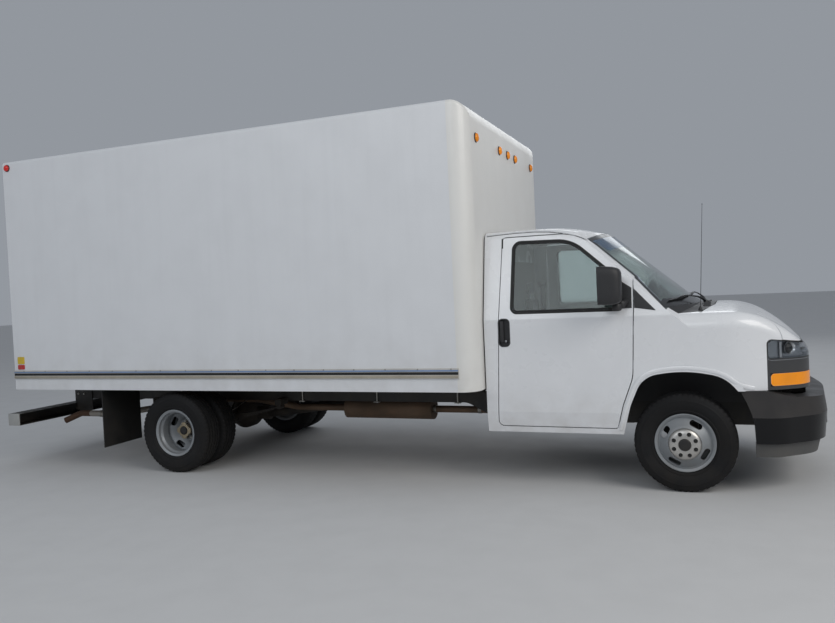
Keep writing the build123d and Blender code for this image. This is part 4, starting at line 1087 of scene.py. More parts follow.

# %% [markdown]
# The drip rail is a thin folded lip that runs over the door from the back of the cab to the
# windshield. A thin black strip under it, where the rail's shadow falls, is painted shadow.

# %% drip rails with their painted shadow, antenna, and painted shade in the door seam's notch
RAIL = [(-1.490, 2.020), (-1.40, 2.026), (-1.25, 2.032), (-1.093, 2.032), (-0.97, 2.022), (-0.849, 2.001),
        (-0.775, 1.978), (-0.702, 1.948)]
RAIL_SHADOW = Vector((0, -0.0085))
rail_run = spaced(RAIL, 0.02)
for side, sign in SIDES.items():
    bead(f"drip_rail_{side}", CAB_PAINT, side_run(["cab_shell"], rail_run, sign), 0.011, 0.007)
    # Painted shadow: a thin black rubber strip laid on the skin just under the rail stands for its shadow.
    shadow = side_run(["cab_shell"], [p + RAIL_SHADOW for p in rail_run], sign)
    bead(f"drip_rail_painted_shadow_{side}", SEAL_RUBBER, shadow, 0.005, 0.003)
    # Painted shade: a flat black strip on the door skin stands in for the dark, widened gap at the top of the door
    # seam.
    points, normals = side_run([f"door_{side}"], [(-1.320, 1.905 + 0.02 * k) for k in range(5)], sign)
    notch = [p - Vector((0.0355, 0, 0)) for p in points], normals
    bead(f"seam_notch_painted_shade_{side}", SEAL_RUBBER, notch, 0.013, 0.0012, body=f"door_{side}")
base, _ = skin(["fenders", "cowl", "hood"], spot(0.136, -0.79, 1.6), DOWN)
stem = [base + Vector((x, 0, z)) for x, z in ((0, -0.002), (0, 0.006), (0.001, 0.022), (0.0015, 0.03))]
add("antenna_base", BLACK_PLASTIC, tube(stem, [0.017, 0.015, 0.009, 0.005], 24))
mast = tube([stem[-1], base + Vector((0.037, 0, 0.796))], [0.0022, 0.0014], 10)
tip = tube([base + Vector((0.0368, 0, 0.792)), base + Vector((0.0372, 0, 0.799))], 0.0026, 12)
add("antenna_mast", CAP_BLACK, joined([mast, tip]))
print("antenna at", tuple(round(v, 3) for v in base))

# %% [markdown]
# ## Wipers and cowl vents
# Each wiper is an arm with a bend, a bridge and a rubber blade. The blade's points are found on
# the windshield, so the rubber touches the glass along its whole length.

# %% wipers
HUB = [(0, -0.01), (0.019, -0.01), (0.019, 0.012), (0.014, 0.02), (0, 0.022)]


def wiper(name, pivot_xy, blade_from, blade_to):
    pivot, _ = skin(["cowl", "hood"], spot(*pivot_xy, 1.6), DOWN)
    line = [Vector(blade_from).lerp(Vector(blade_to), k / 12) for k in range(13)]
    points, normals = met_only([skin(["windshield"], spot(1, *p), BACKWARD) for p in line])
    bead(name + "_rubber", SEAL_RUBBER, (points, normals), 0.006, 0.010)

    def over(k, lift):
        return points[k] + normals[k] * lift

    spine = tube([over(k, 0.0135) for k in range(13)], 0.0045, 8)
    bridge = tube([over(3, 0.014), over(4, 0.024), over(6, 0.029), over(8, 0.024), over(9, 0.014)],
                  [0.004, 0.005, 0.006, 0.005, 0.004], 8)
    start, grip = pivot + UP * 0.012, over(6, 0.030)
    bend = start.lerp(grip, 0.38) + UP * 0.020
    arm = tube([start, start.lerp(bend, 0.5) + UP * 0.006, bend, bend.lerp(grip, 0.55) + UP * 0.004, grip],
               [0.012, 0.0105, 0.007, 0.0055, 0.005], 10)
    add(name + "_arm", CAP_BLACK, joined([spine, bridge, turned(HUB, 28, "Z", pivot), arm]))


wiper("wiper_right", (0.165, -0.16), (-0.840, 1.428), (-0.27, 1.452))
wiper("wiper_left", (0.150, 0.56), (-0.10, 1.452), (0.46, 1.452))
vents, nozzles = [], []
for number in range(40):
    ends, _ = met_only([skin(["cowl"], spot(x, -0.585 + number * 0.03, 1.6), DOWN) for x in (0.205, 0.150)])
    if len(ends) == 2:
        vents.append(tube([p + UP * 0.001 for p in ends], 0.0042, 8))
add("cowl_vent_ribs", BLACK_PLASTIC, joined(vents))
for y in (-0.32, 0.32):
    p, _ = skin(["cowl", "hood"], spot(0.20, y, 1.6), DOWN)
    nozzles.append(slab(p - Vector((0.008, 0.011, 0.002)), p + Vector((0.010, 0.011, 0.010))))
add("washer_nozzles", CAP_BLACK, joined(nozzles), bevel=(0.003, 2))
print("wiper parts and", len(vents), "vent ribs")

# %% [markdown]
# ## Rub rail, side lamps and the back of the truck
# The rub rail carries a black insert in its slot and a thin blue line along its top. Behind, the
# roll-up door has a hinge on every joint between slats, rubber seals round it, and one latch.

# %% rub rail inserts and side lamps
RAIL_BLUE = finish("rail_blue_line", (0.16, 0.27, 0.50), 0.35, 0.15, dust=(0.8, 1.2, 0.2))
RAIL_SAND = finish("rail_weathered_edge", (0.42, 0.38, 0.31), 0.5, 0.25, dust=(0.8, 1.2, 0.3), streaks=(0.04, 0.4))
RAIL_PARTS = (("insert", SEAL_RUBBER, 0.918, 0.941, 0.002), ("blue", RAIL_BLUE, 0.945, 0.957, 0.0062),
              ("edge", RAIL_SAND, 0.890, 0.914, 0.0058))
RIVET = [(0, 0.0045), (0.004, 0.004), (0.007, 0.0018), (0.007, -0.001), (0, -0.001)]
RIVET_COUNT, RIVET_STEP, RIVET_Z = 17, 0.286, 0.9625
rail_low, rail_high = node_box("rub_rails")
for side, sign in SIDES.items():
    x0, x1, face = rail_low.x + 0.004, rail_high.x - 0.002, sign * (rail_high.y - 0.005)
    for label, look, z0, z1, lift in RAIL_PARTS:
        add(f"rub_rail_{label}_{side}", look, slab((x0, face, z0), (x1, face + sign * lift, z1)),
            bevel=(0.0012, 2))
    place, normal = on_side(["box_sides"], -6.376, 3.02, sign)
    round_lamp(f"rear_side_marker_{side}", RED_LENS, place, normal, 0.032)
    rivets = [turned(RIVET, 12, at=(rail_low.x + 0.14 + k * RIVET_STEP, sign * rail_high.y, RIVET_Z), flip=sign)
              for k in range(RIVET_COUNT)]
    add(f"rub_rail_rivets_{side}", BOLT_ZINC, joined(rivets))
print("rail from", round(rail_low.x, 2), "to", round(rail_high.x, 2))

# %% roll-up door and rear frame
BACK, DOOR_FACE = node_box("rear_frame")[0].x, node_box("rear_door")[0].x
FIRST_SLAT_Z, SLAT_HIGH, LATCH_Z = 0.897, 0.33, 1.005
LAMP_Y, HEADER_Z = 1.156, 2.965


def on_door(x, y, z):
    """A point whose x counts from the roll-up door's face."""
    return Vector((DOOR_FACE + x, y, z))


def ribbon(points, half_wide, thick):
    """A flat strap through points."""
    return skinned([[p - half_wide, p + half_wide, p + half_wide + thick, p - half_wide + thick] for p in points])


hinges = []
for z in (FIRST_SLAT_Z + row * SLAT_HIGH for row in range(1, 6)):
    for y in (-0.72, 0.0, 0.72):
        hinges += [slab(on_door(-0.003, y - 0.03, z - 0.032), on_door(0, y + 0.03, z - 0.006)),
                   slab(on_door(-0.003, y - 0.03, z + 0.006), on_door(0, y + 0.03, z + 0.032)),
                   tube([on_door(-0.003, y - 0.032, z), on_door(-0.003, y + 0.032, z)], 0.0055)]
add("roll_door_hinges", BOLT_ZINC, joined(hinges))
latch = [slab(on_door(-0.004, -0.11, LATCH_Z - 0.055), on_door(0, 0.11, LATCH_Z + 0.055)),
         tube([on_door(-0.004, 0, LATCH_Z), on_door(-0.016, 0, LATCH_Z)], 0.016, 20),
         tube([on_door(-0.0135, 0, LATCH_Z), on_door(-0.0135, 0.05, LATCH_Z + 0.004),
               on_door(-0.0135, 0.10, LATCH_Z)], [0.007, 0.0055, 0.004]),
         slab(on_door(-0.009, -0.015, LATCH_Z - 0.10), on_door(-0.002, 0.015, LATCH_Z - 0.05))]
add("roll_door_latch", BOLT_ZINC, joined(latch))
strap = [on_door(-0.003, 0.42, 0.975), on_door(-0.010, 0.421, 0.95), on_door(-0.012, 0.423, 0.905)]
add("pull_strap", SEAL_RUBBER, ribbon(strap, Vector((0, 0.02, 0)), Vector((-0.002, 0, 0))))
seal = slab(on_door(-0.004, -1.105, 0.8975), on_door(0.02, 1.105, 0.914))
add("roll_door_bottom_seal", SEAL_RUBBER, seal, bevel=(0.002, 2))
seals = [slab(on_door(-0.012, sign * 1.1095, 0.90), on_door(-0.001, sign * 1.098, 2.87)) for sign in (-1, 1)]
seals.append(slab(on_door(-0.012, -1.108, 2.860), on_door(-0.001, 1.108, 2.874)))
add("roll_door_edge_seals", SEAL_RUBBER, joined(seals), smooth=False)

for number, y in enumerate((-1.14, -0.12, 0.0, 0.12, 1.14)):
    round_lamp(f"rear_header_marker_{number}", RED_LENS, (BACK, y, HEADER_Z), BACKWARD, 0.026)
for side, sign in SIDES.items():
    for name, look, z in (("rear_stop_lamp", RED_LENS, 1.06), ("rear_turn_lamp", RED_LENS, 1.20),
                          ("backup_lamp", CLEAR_LENS, 0.935)):
        round_lamp(f"{name}_{side}", look, (BACK, sign * LAMP_Y, z), BACKWARD, 0.037)
grab = [(BACK + x, -LAMP_Y, z) for x, z in ((0, 1.42), (-0.035, 1.43), (-0.045, 1.46), (-0.045, 1.78),
                                            (-0.035, 1.81), (0, 1.82))]
add("grab_handle", BOLT_ZINC, tube(grab, 0.0085, 12))
PLATE_BLANK = finish("blank_plate", (0.66, 0.67, 0.68), 0.35, 0.06, dust=(0.4, 1.2, 0.25), slot="rear_steel")
blank = plate(rounded_outline(rect(0.445, 0.700, 0.745, 0.850), 0.012), 0.0015,
              lambda u, v, d: Vector((BACK - 0.0115 - d, u, v)))
add("blank_plate", PLATE_BLANK, blank)
add("plate_bracket", CHASSIS_PAINT, slab((BACK - 0.010, 0.43, 0.800), (BACK, 0.76, 0.882)), bevel=(0.002, 2))
add("plate_lamp", CAP_BLACK, slab((BACK - 0.034, 0.565, 0.852), (BACK - 0.002, 0.625, 0.872)), bevel=(0.003, 2))
print("rear door hinges", len(hinges) // 3)

# %% underride guard, mud flaps and front plate
CAP_ZINC = finish("guard_end_zinc", (0.50, 0.50, 0.48), 0.4, 0.15, dust=(0.2, 0.9, 0.25), metallic=0.6,
                  slot="guard_steel")
BOLT_HEAD = [(0, 0.007), (0.006, 0.006), (0.009, 0.002), (0.009, 0), (0, 0)]
TREAD_Z, TREAD_STEP = 0.520, 0.12
guard_x, flap_x = node_box("underride_guard")[0].x, node_box("mud_flaps")[0].x
treads = [slab((guard_x + 0.012, k * TREAD_STEP - 0.035, TREAD_Z),
               (guard_x + 0.13, k * TREAD_STEP + 0.035, TREAD_Z + 0.002)) for k in range(-9, 10)]
add("guard_tread_pads", FLAP_RUBBER, joined(treads), smooth=False)
for side, sign in SIDES.items():
    cap = slab((guard_x - 0.002, sign * 1.196, 0.398), (guard_x + 0.152, sign * 1.204, 0.522))
    add(f"guard_end_cap_{side}", CAP_ZINC, cap, bevel=(0.002, 2))
    bolts = [nut((BACK + 0.01 + x, sign * 0.444, z), sign, 0.010, 0.011) for x in (0.02, 0.10) for z in (0.62, 0.70)]
    add(f"guard_hanger_bolts_{side}", BOLT_ZINC, joined(bolts))
    bar = slab((flap_x - 0.012, sign * 0.68, 0.772), (flap_x + 0.024, sign * 1.21, 0.812))
    add(f"flap_bracket_{side}", CHASSIS_PAINT, bar, bevel=(0.002, 2))
    heads = [turned(BOLT_HEAD, 14, "X", (flap_x - 0.012, sign * (0.74 + 0.11 * k), 0.79), flip=-1) for k in range(5)]
    add(f"flap_bolts_{side}", BOLT_ZINC, joined(heads))
front_face, _ = skin(["front_bumper"], spot(1.6, 0.0, 0.48), BACKWARD)
bracket = plate(rounded_outline(rect(-0.165, 0.405, 0.165, 0.555), 0.01, 4), 0.012,
                lambda u, v, d: Vector((front_face.x - 0.006 + d, u, v)))
add("front_plate_bracket", BLACK_PLASTIC, bracket)
blank = plate(rounded_outline(rect(-0.15, 0.405, 0.15, 0.555), 0.012), 0.0015,
              lambda u, v, d: Vector((front_face.x + 0.006 + d, u, v)))
add("front_blank_plate", PLATE_BLANK, blank)
print("guard and plates done")

# %% [markdown]
# ## Under the truck
# Underneath, small steel parts show how things are held: U-bolts clamp the springs, straps hold
# the tank, clamps join the exhaust, and pipes run to the brakes.

# %% underbody fasteners and pipes
SPRING_Y, BOLT_SIDE, BOLT_TOP = 0.52, 0.047, 0.475
RING = [(0.100, -0.012), (0.132, -0.012), (0.132, 0.004), (0.100, 0.004)]
CLAMP = [(0.0315, -0.016), (0.0355, -0.016), (0.0355, 0.016), (0.0315, 0.016)]
axle_x, axle_z = REAR_AXLE.x, REAR_AXLE.z
for side, sign in SIDES.items():
    middle, shapes = sign * SPRING_Y, []
    for x in (axle_x - 0.062, axle_x + 0.062):
        for y in (sign * (SPRING_Y - BOLT_SIDE), sign * (SPRING_Y + BOLT_SIDE)):
            shapes.append(tube([(x, y, 0.325), (x, y, BOLT_TOP)], 0.008))
        turns = [t * math.pi / 8 for t in range(9)]
        shapes.append(tube([(x, middle + BOLT_SIDE * math.cos(t), BOLT_TOP + 0.02 * math.sin(t)) for t in turns],
                           0.008))
    shapes.append(slab((axle_x - 0.085, middle - 0.06, 0.318), (axle_x + 0.085, middle + 0.06, 0.330)))
    add(f"spring_u_bolts_{side}", AXLE_IRON, joined(shapes))
    foot, joint, head = ((axle_x - 0.09, sign * 0.40, 0.315), (axle_x - 0.16, sign * 0.38, 0.46),
                         (axle_x - 0.225, sign * 0.36, 0.60))
    damper = [tube([foot, joint], 0.026, 20), tube([joint, head], 0.032, 20)]
    add(f"rear_damper_{side}", AXLE_IRON, joined(damper))
    pipe = [spot(-1.9, sign * 0.37, 0.70), spot(-3.9, sign * 0.37, 0.70), spot(-4.15, sign * 0.36, 0.62),
            (axle_x + 0.06, sign * 0.33, 0.455), (axle_x + 0.05, sign * 0.70, 0.430)]
    add(f"brake_pipe_{side}", BOLT_ZINC, tube(pipe, 0.004, 8))
add("axle_cover_ring", AXLE_IRON, turned(RING, 48, "X", (axle_x - 0.112, 0, axle_z)))
bolts = []
for a in (math.tau * k / 10 for k in range(10)):
    verts, faces = nut((0, 0, 0), 1, 0.008, 0.009)
    place = (axle_x - 0.129, 0.118 * math.cos(a), axle_z + 0.118 * math.sin(a))
    bolts.append((moved(verts, place, facing(BACKWARD)), faces))
add("axle_cover_bolts", BOLT_ZINC, joined(bolts))
low, high = node_box("fuel_tank")
outer = rounded_outline(rect(low.y - 0.003, low.z - 0.003, high.y + 0.001, high.z + 0.003), 0.062, 6)
inner = rounded_outline(rect(low.y, low.z, high.y, high.z), 0.060, 6)
straps = [band(outer, inner, 0.04, lambda u, v, d: Vector((x - 0.02 + d, u, v)))
          for x in (low.x + 0.14, high.x - 0.14)]
add("tank_straps", CHASSIS_PAINT, joined(straps))
clamps = []
for x, y, z in ((-3.16, -0.25, 0.48), (-2.24, -0.25, 0.48), (-1.8, -0.25, 0.48), (-5.9, -0.64, 0.44)):
    clamps += [turned(CLAMP, 28, "X", spot(x, y, z)),
               slab(spot(x - 0.012, y + 0.03, z - 0.008), spot(x + 0.012, y + 0.058, z + 0.008))]
add("exhaust_clamps", BOLT_ZINC, joined(clamps))
bolts = []
for x in (-1.95, -2.75, -3.55, -5.0, -5.9):
    for y in (-0.44, 0.44):
        bolts += [tube([spot(x, y, 0.56), spot(x, y, 0.83)], 0.007, 8),
                  slab(spot(x - 0.03, y - 0.016, 0.566), spot(x + 0.03, y + 0.016, 0.572)),
                  slab(spot(x - 0.022, y - 0.012, 0.80), spot(x + 0.022, y + 0.012, 0.812))]
add("box_mounting_bolts", BOLT_ZINC, joined(bolts))
print("underbody parts placed")

# %% [markdown]
# ## Seats
# A seat pad starts as a block a little smaller than its place. Air pressure then blows it up as
# cloth, while its underside and its sewn lines are held still, so the fabric crowns between the
# seams. No point may move further than its limit, or leave the seat's own space.

# %% seat cloth
def build_weave(tree, place, given):
    """Crossed threads as a height, from three waves so that it lies on any face."""
    waves = [node(tree, "TexWave", {"Vector": place, "Scale": given["Density"]}, bands_direction=way).outputs["Fac"]
             for way in "XYZ"]
    return (maths(tree, "ADD", maths(tree, "ADD", waves[0], waves[1]), waves[2]),)


def woven(material, strength):
    """Lay the weave over a finish, as bump and as painted shade in the gaps between threads."""
    tree, surface = material.node_tree, surface_of(material)
    threads = node(tree, "Group", node_tree=WEAVE).outputs["Height"]
    under, shade = (surface[title].links[0].from_socket for title in ("Normal", "Base Color"))
    bump = node(tree, "Bump", {"Height": threads, "Strength": strength, "Distance": 0.0005, "Normal": under})
    tree.links.new(bump.outputs[0], surface["Normal"])
    # Painted shade: the gaps between threads are darkened in the base colour.
    thread_gap_shade = spread(tree, threads, 1.6, 0.8)
    tree.links.new(mixed(tree, thread_gap_shade, shade, (0.03, 0.03, 0.032, 1)), surface["Base Color"])
    return material


WEAVE = new_group("cloth_weave", {"Density": 120.0}, ("Height",), build_weave)
SEAT_CLOTH = woven(finish("seat_cloth_grey", (0.115, 0.115, 0.12), 0.85, 0.2, (0.0012, 0.3), None, sheen=0.3,
                          on="seats"), 0.5)
SEAT_SIDE = finish("seat_side_vinyl", (0.075, 0.075, 0.078), 0.5, 0.12, (0.0014, 0.45), None)
WEBBING = woven(finish("belt_webbing", (0.035, 0.035, 0.037), 0.7, grain=(0.001, 0.3), dust=None, sheen=0.2,
                       slot="black_rubber"), 0.7)
print("cloth ready")

# %% blown pads
PRESSURE, FRAMES, SEAT_Y = 4, 20, 0.5
CUSHION_SEAMS, BACK_SEAMS = (-0.94, -1.04, -1.14, -1.24), (1.04, 1.12, 1.20, 1.28, 1.36)
WALL_X = node_box("seats")[0].x - X0


def blown(name, place, radius, hold, inside, limit=0.022, voxel=0.009):
    """A pad's mesh: a block, remeshed fine, blown up as cloth and kept in its own space."""
    shape = bmesh.new()
    bmesh.ops.create_cube(shape, size=1)
    for vert in shape.verts:
        vert.co = place(*(vert.co + Vector((0.5, 0.5, 0.5))))
    bmesh.ops.bevel(shape, geom=shape.edges[:], offset=radius, segments=4, profile=0.5, affect="EDGES")
    mesh = bpy.data.meshes.new(name)
    shape.to_mesh(mesh)
    shape.free()
    work = new_object(name, mesh)
    remesh = work.modifiers.new("remesh", "REMESH")
    remesh.mode, remesh.voxel_size = "VOXEL", voxel
    settle(work)
    start = [v.co.copy() for v in work.data.vertices]
    end = start
    group = work.vertex_groups.new(name="hold")
    group.add([i for i, p in enumerate(start) if hold(p)], 1.0, "REPLACE")
    cloth = work.modifiers.new("cloth", "CLOTH")
    cloth.settings.vertex_group_mass = "hold"
    cloth.settings.use_pressure = True
    cloth.settings.uniform_pressure_force = PRESSURE
    cloth.settings.effector_weights.gravity = 0
    cloth.collision_settings.use_collision = False
    for number in range(1, FRAMES + 1):
        bpy.context.scene.frame_set(number)
    grown_mesh = work.evaluated_get(bpy.context.evaluated_depsgraph_get()).to_mesh()
    end = [v.co.copy() for v in grown_mesh.vertices]
    work.modifiers.clear()
    work.vertex_groups.clear()
    bpy.context.scene.frame_set(1)
    for vert, a, b in zip(work.data.vertices, start, end):
        step = b - a
        if step.length > limit:
            step *= limit / step.length
        vert.co = inside(a + step)
    fine = work.modifiers.new("finer", "SUBSURF")
    fine.levels = fine.render_levels = 1
    settle(work)
    mesh = work.data
    bpy.data.objects.remove(work)
    return mesh


def kept(p, low, high):
    return Vector([min(max(v, a), b) for v, a, b in zip(p, low, high)])


def near(value, *lines):
    return any(abs(value - line) < 0.0052 for line in lines)


def back_front(z):
    return -1.345 - 0.070 * (z - 0.936) / 0.544


def back_rear(z):
    return -1.450 + (WALL_X + 1.450) * (z - 0.936) / 0.544


def cushion_place(u, v, w):
    return spot(-1.330 + 0.440 * u, (v - 0.5) * 0.444, 0.796 + w * (0.105 - 0.012 * u))


def cushion_hold(p):
    x, y = p.x - X0, abs(p.y)
    sewn = (near(y, 0.15) and x > -1.32) or (y < 0.15 and near(x, *CUSHION_SEAMS))
    return p.z < 0.803 or (sewn and p.z > 0.86)


def cushion_inside(p):
    return kept(p, spot(-1.338, -0.238, 0.792), spot(-0.873, 0.238, 0.928))


def back_place(u, v, w):
    z = 0.948 + 0.512 * w
    rear, front = back_rear(z) + 0.004, back_front(z) - 0.016
    return spot(rear + (front - rear) * u, (v - 0.5) * (0.440 - 0.05 * w), z)


def back_hold(p):
    sewn = near(abs(p.y), 0.135) or (abs(p.y) < 0.135 and near(p.z, *BACK_SEAMS))
    middle = (back_front(p.z) + back_rear(p.z)) / 2
    return p.x - X0 < back_rear(p.z) + 0.012 or (sewn and p.x - X0 > middle)


def back_inside(p):
    return kept(p, spot(back_rear(p.z) + 0.001, -0.233, 0.939), spot(back_front(p.z) - 0.001, 0.233, 1.478))


def head_place(u, v, w):
    return spot(WALL_X + 0.008 + (-1.446 - WALL_X - 0.008) * u, (v - 0.5) * (0.232 - 0.03 * w), 1.510 + 0.112 * w)


def head_hold(p):
    return p.x - X0 < WALL_X + 0.014 or (near(abs(p.y), 0.085) and p.z < 1.54)


def head_inside(p):
    return kept(p, spot(WALL_X + 0.001, -0.128, 1.497), spot(-1.430, 0.128, 1.638))


PADS = (("seat_cushion", SEAT_CLOTH, 0.15, blown("seat_cushion", cushion_place, 0.028, cushion_hold, cushion_inside)),
        ("seat_back", SEAT_CLOTH, 0.135, blown("seat_back", back_place, 0.018, back_hold, back_inside)),
        ("headrest", SEAT_SIDE, 9, blown("headrest", head_place, 0.014, head_hold, head_inside, 0.014, 0.006)))
for side, sign in SIDES.items():
    for title, look, edge, mesh in PADS:
        piece = new_object(f"{title}_{side}", mesh.copy())
        piece.data.transform(Matrix.Translation((0, sign * SEAT_Y, 0)))
        piece.data.materials.clear()
        piece.data.materials.append(look)
        piece.data.materials.append(SEAT_SIDE)
        for face in piece.data.polygons:
            if abs(face.center.y - sign * SEAT_Y) > edge:
                face.material_index = 1
        piece.data.shade_smooth()
        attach(piece, "chassis")
        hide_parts("seats")
print("pads", {title: len(mesh.polygons) for title, _, _, mesh in PADS})

# %% seams, posts and belts
BELT_X, BELT_LOW, BELT_LONG, BELT_STEPS = -1.425, 0.72, 0.86, 23


def seams(pad, runs, way):
    """Thin cords where rays along a direction meet a pad."""
    tree, cords = ray_tree(bpy.data.objects[pad].data), []
    for run in runs:
        met = [tree.ray_cast(p, way)[0] for p in run]
        cords.append(tube([place - way * 0.0008 for place in met if place is not None], 0.0019, 8))
    return cords


for side, sign in SIDES.items():
    y0 = sign * SEAT_Y
    runs = [[spot(-1.30 + 0.01 * k, y0 + e * 0.15, 1.1) for k in range(41)] for e in (-1, 1)]
    runs += [[spot(x, y0 - 0.145 + 0.01 * k, 1.1) for k in range(30)] for x in CUSHION_SEAMS]
    cords = seams(f"seat_cushion_{side}", runs, DOWN)
    runs = [[spot(-1.0, y0 + e * 0.135, 0.97 + 0.01 * k) for k in range(48)] for e in (-1, 1)]
    runs += [[spot(-1.0, y0 - 0.13 + 0.01 * k, z) for k in range(27)] for z in BACK_SEAMS]
    cords += seams(f"seat_back_{side}", runs, BACKWARD)
    add(f"seat_seams_{side}", WEBBING, joined(cords))
    posts = [tube([spot(-1.452, y0 + e * 0.06, 1.462), spot(-1.454, y0 + e * 0.06, 1.515)], 0.006, 14)
             for e in (-1, 1)]
    add(f"headrest_posts_{side}", TRIM_CHROME, joined(posts))
    recliner = slab(spot(-1.44, y0 - sign * 0.243, 0.83), spot(-1.345, y0 - sign * 0.236, 0.90))
    add(f"recliner_cover_{side}", BLACK_PLASTIC, recliner, bevel=(0.002, 2))
    heights = [BELT_LOW + k * BELT_LONG / BELT_STEPS for k in range(BELT_STEPS + 1)]
    walls = [skin(["cab_shell", "cab_floor"], spot(BELT_X, sign * 0.745, z), (0, sign, 0))[0] for z in heights]
    inner_y = min(0.85 if wall is None else abs(wall.y) for wall in walls) - 0.012
    belt = ribbon([spot(BELT_X, sign * inner_y, z) for z in heights], Vector((0.023, 0, 0)),
                  Vector((0, sign * 0.0014, 0)))
    add(f"belt_webbing_{side}", WEBBING, belt)
    for label, z, tall in (("anchor", 1.60, 0.05), ("retractor", 0.71, 0.12)):
        block = slab(spot(-1.463, sign * (inner_y - 0.006), z - tall / 2),
                     spot(-1.387, sign * (inner_y + 0.010), z + tall / 2))
        add(f"belt_{label}_{side}", DASH_PLASTIC, block, bevel=(0.005, 3))
    print("belt", side, "inner wall y", round(inner_y, 3))

# %% [markdown]
# ## Dash, wheel and pedals
# The dash is grained plastic with a hooded cluster in front of the driver, air vents, a radio
# plate with plain buttons, and a lid on the passenger's side. The dials have marks, no figures.

# %% dash pieces
def dash_frame(y, z):
    """Centre, and the turn whose columns are across, up and out, at a place on the dash face."""
    place, out = skin(["dashboard"], spot(-1.1, y, z), AHEAD)
    across = Vector((0, -1, 0))
    return place, Matrix((across, out.cross(across) * -1, out)).transposed()


def on_dash(y, z, lift=0.0):
    """A placing function for shapes on the dash face."""
    centre, turn = dash_frame(y, z)
    return lambda u, v, d: centre + turn @ Vector((u, v, lift + d))


def centred(wide, high):
    return rect(-wide / 2, -high / 2, wide / 2, high / 2)


def dash_plate(name, look, y, z, wide, high, radius, low, top):
    shape = plate(rounded_outline(centred(wide, high), radius), top - low, on_dash(y, z, low))
    return add(name, look, shape, bevel=(0.0015, 2))


def dial_finish(name, colour, rough, drift=0.05):
    return finish(name, colour, rough, drift, (0.001, 0.05), None, slot="dash_plastic")


DIAL_FACE = dial_finish("dial_face", (0.01, 0.01, 0.011), 0.35, 0.12)
DIAL_MARK = dial_finish("dial_marks", (0.75, 0.76, 0.74), 0.4)
NEEDLE_RED = dial_finish("needle_red", (0.65, 0.05, 0.03), 0.4)
DIALS, DIAL_RISE = ((-0.115, 0.044), (-0.02, 0.044), (0.065, 0.026), (0.13, 0.026)), 0.003
KNOB = [(0, 0.024), (0.010, 0.024), (0.014, 0.019), (0.016, 0.006), (0, 0.006)]
HEATER_Z, VENT_Z, BUTTON_Z = 1.182, 1.232, 1.235
_, cluster_turn = dash_frame(0.42, 1.225)
on_cluster = on_dash(0.42, 1.225)
outer = rounded_outline(rect(-0.20, -0.072, 0.20, 0.078), 0.045, 8)
inner = rounded_outline(rect(-0.188, -0.060, 0.188, 0.066), 0.034, 8)
hood = band(outer, inner, 0.046, lambda u, v, d: on_cluster(u, v, d * (1 if v > 0 else 0.55) - 0.012))
add("cluster_hood", DASH_PLASTIC, hood, bevel=(0.002, 2))
dash_plate("cluster_face", DIAL_FACE, 0.42, 1.228, 0.37, 0.12, 0.03, -0.004, 0.002)


def dial_line(u, turn, near_r, far_r, lift, radius, sides):
    """A thin bar on a dial, from one radius to another."""
    return tube([on_cluster(u + r * math.cos(turn), DIAL_RISE + r * math.sin(turn), lift) for r in (near_r, far_r)],
                radius, sides)


rings, marks, needles = [], [], []
for u, r in DIALS:
    ring = [(r, 0.002), (r + 0.003, 0.002), (r + 0.003, 0.007), (r, 0.006)]
    rings.append(turned(ring, 40, "Z", on_cluster(u, DIAL_RISE, 0), turn=cluster_turn))
    for k in range(17):
        a = math.radians(225 - k * 270 / 16)
        marks.append(dial_line(u, a, r * (0.80 if k % 2 else 0.72), r * 0.93, 0.0030, 0.0007, 5))
    needles.append(dial_line(u, math.radians(215), 0, r * 0.8, 0.0042, [0.0016, 0.0006], 6))
add("dial_rings", BLACK_PLASTIC, joined(rings))
add("dial_marks", DIAL_MARK, joined(marks))
add("dial_needles", NEEDLE_RED, joined(needles))
for number, y in enumerate((-0.70, -0.17, 0.17, 0.70)):
    shapes = [band(rounded_outline(centred(0.104, 0.068), 0.012), rounded_outline(centred(0.092, 0.056), 0.008),
                   0.008, on_dash(y, VENT_Z, -0.002))]
    shapes += [plate(rect(-0.046, v - 0.0012, 0.046, v + 0.0012), 0.0045, on_dash(y, VENT_Z))
               for v in (k * 0.0125 for k in (-1.5, -0.5, 0.5, 1.5))]
    shapes.append(plate(centred(0.093, 0.057), 0.001, on_dash(y, VENT_Z, -0.0005)))
    add(f"air_vent_{number}", CAP_BLACK, joined(shapes), smooth=False)
dash_plate("radio_plate", CAP_BLACK, 0.0, 1.245, 0.19, 0.055, 0.006, -0.002, 0.006)
for k in range(6):
    dash_plate(f"radio_button_{k}", DIAL_FACE, -0.05 + 0.02 * k, BUTTON_Z, 0.016, 0.012, 0.002, 0.004, 0.009)
dash_plate("radio_window", GLOSS_BLACK, 0.0, 1.256, 0.10, 0.018, 0.003, 0.004, 0.0072)
dash_plate("heater_plate", CAP_BLACK, 0.0, HEATER_Z, 0.19, 0.045, 0.006, -0.002, 0.005)
knobs = []
for y in (-0.065, 0.0, 0.065):
    place, turn = dash_frame(y, HEATER_Z)
    knobs.append(turned(KNOB, 28, "Z", place, turn=turn))
add("heater_knobs", BLACK_PLASTIC, joined(knobs))
dash_plate("glove_box_lid", DASH_PLASTIC, -0.53, 1.215, 0.2001, 0.085, 0.012, -0.002, 0.005)
dash_plate("glove_box_latch", CAP_BLACK, -0.53, 1.243, 0.05, 0.016, 0.005, 0.003, 0.010)
print("dash pieces placed")

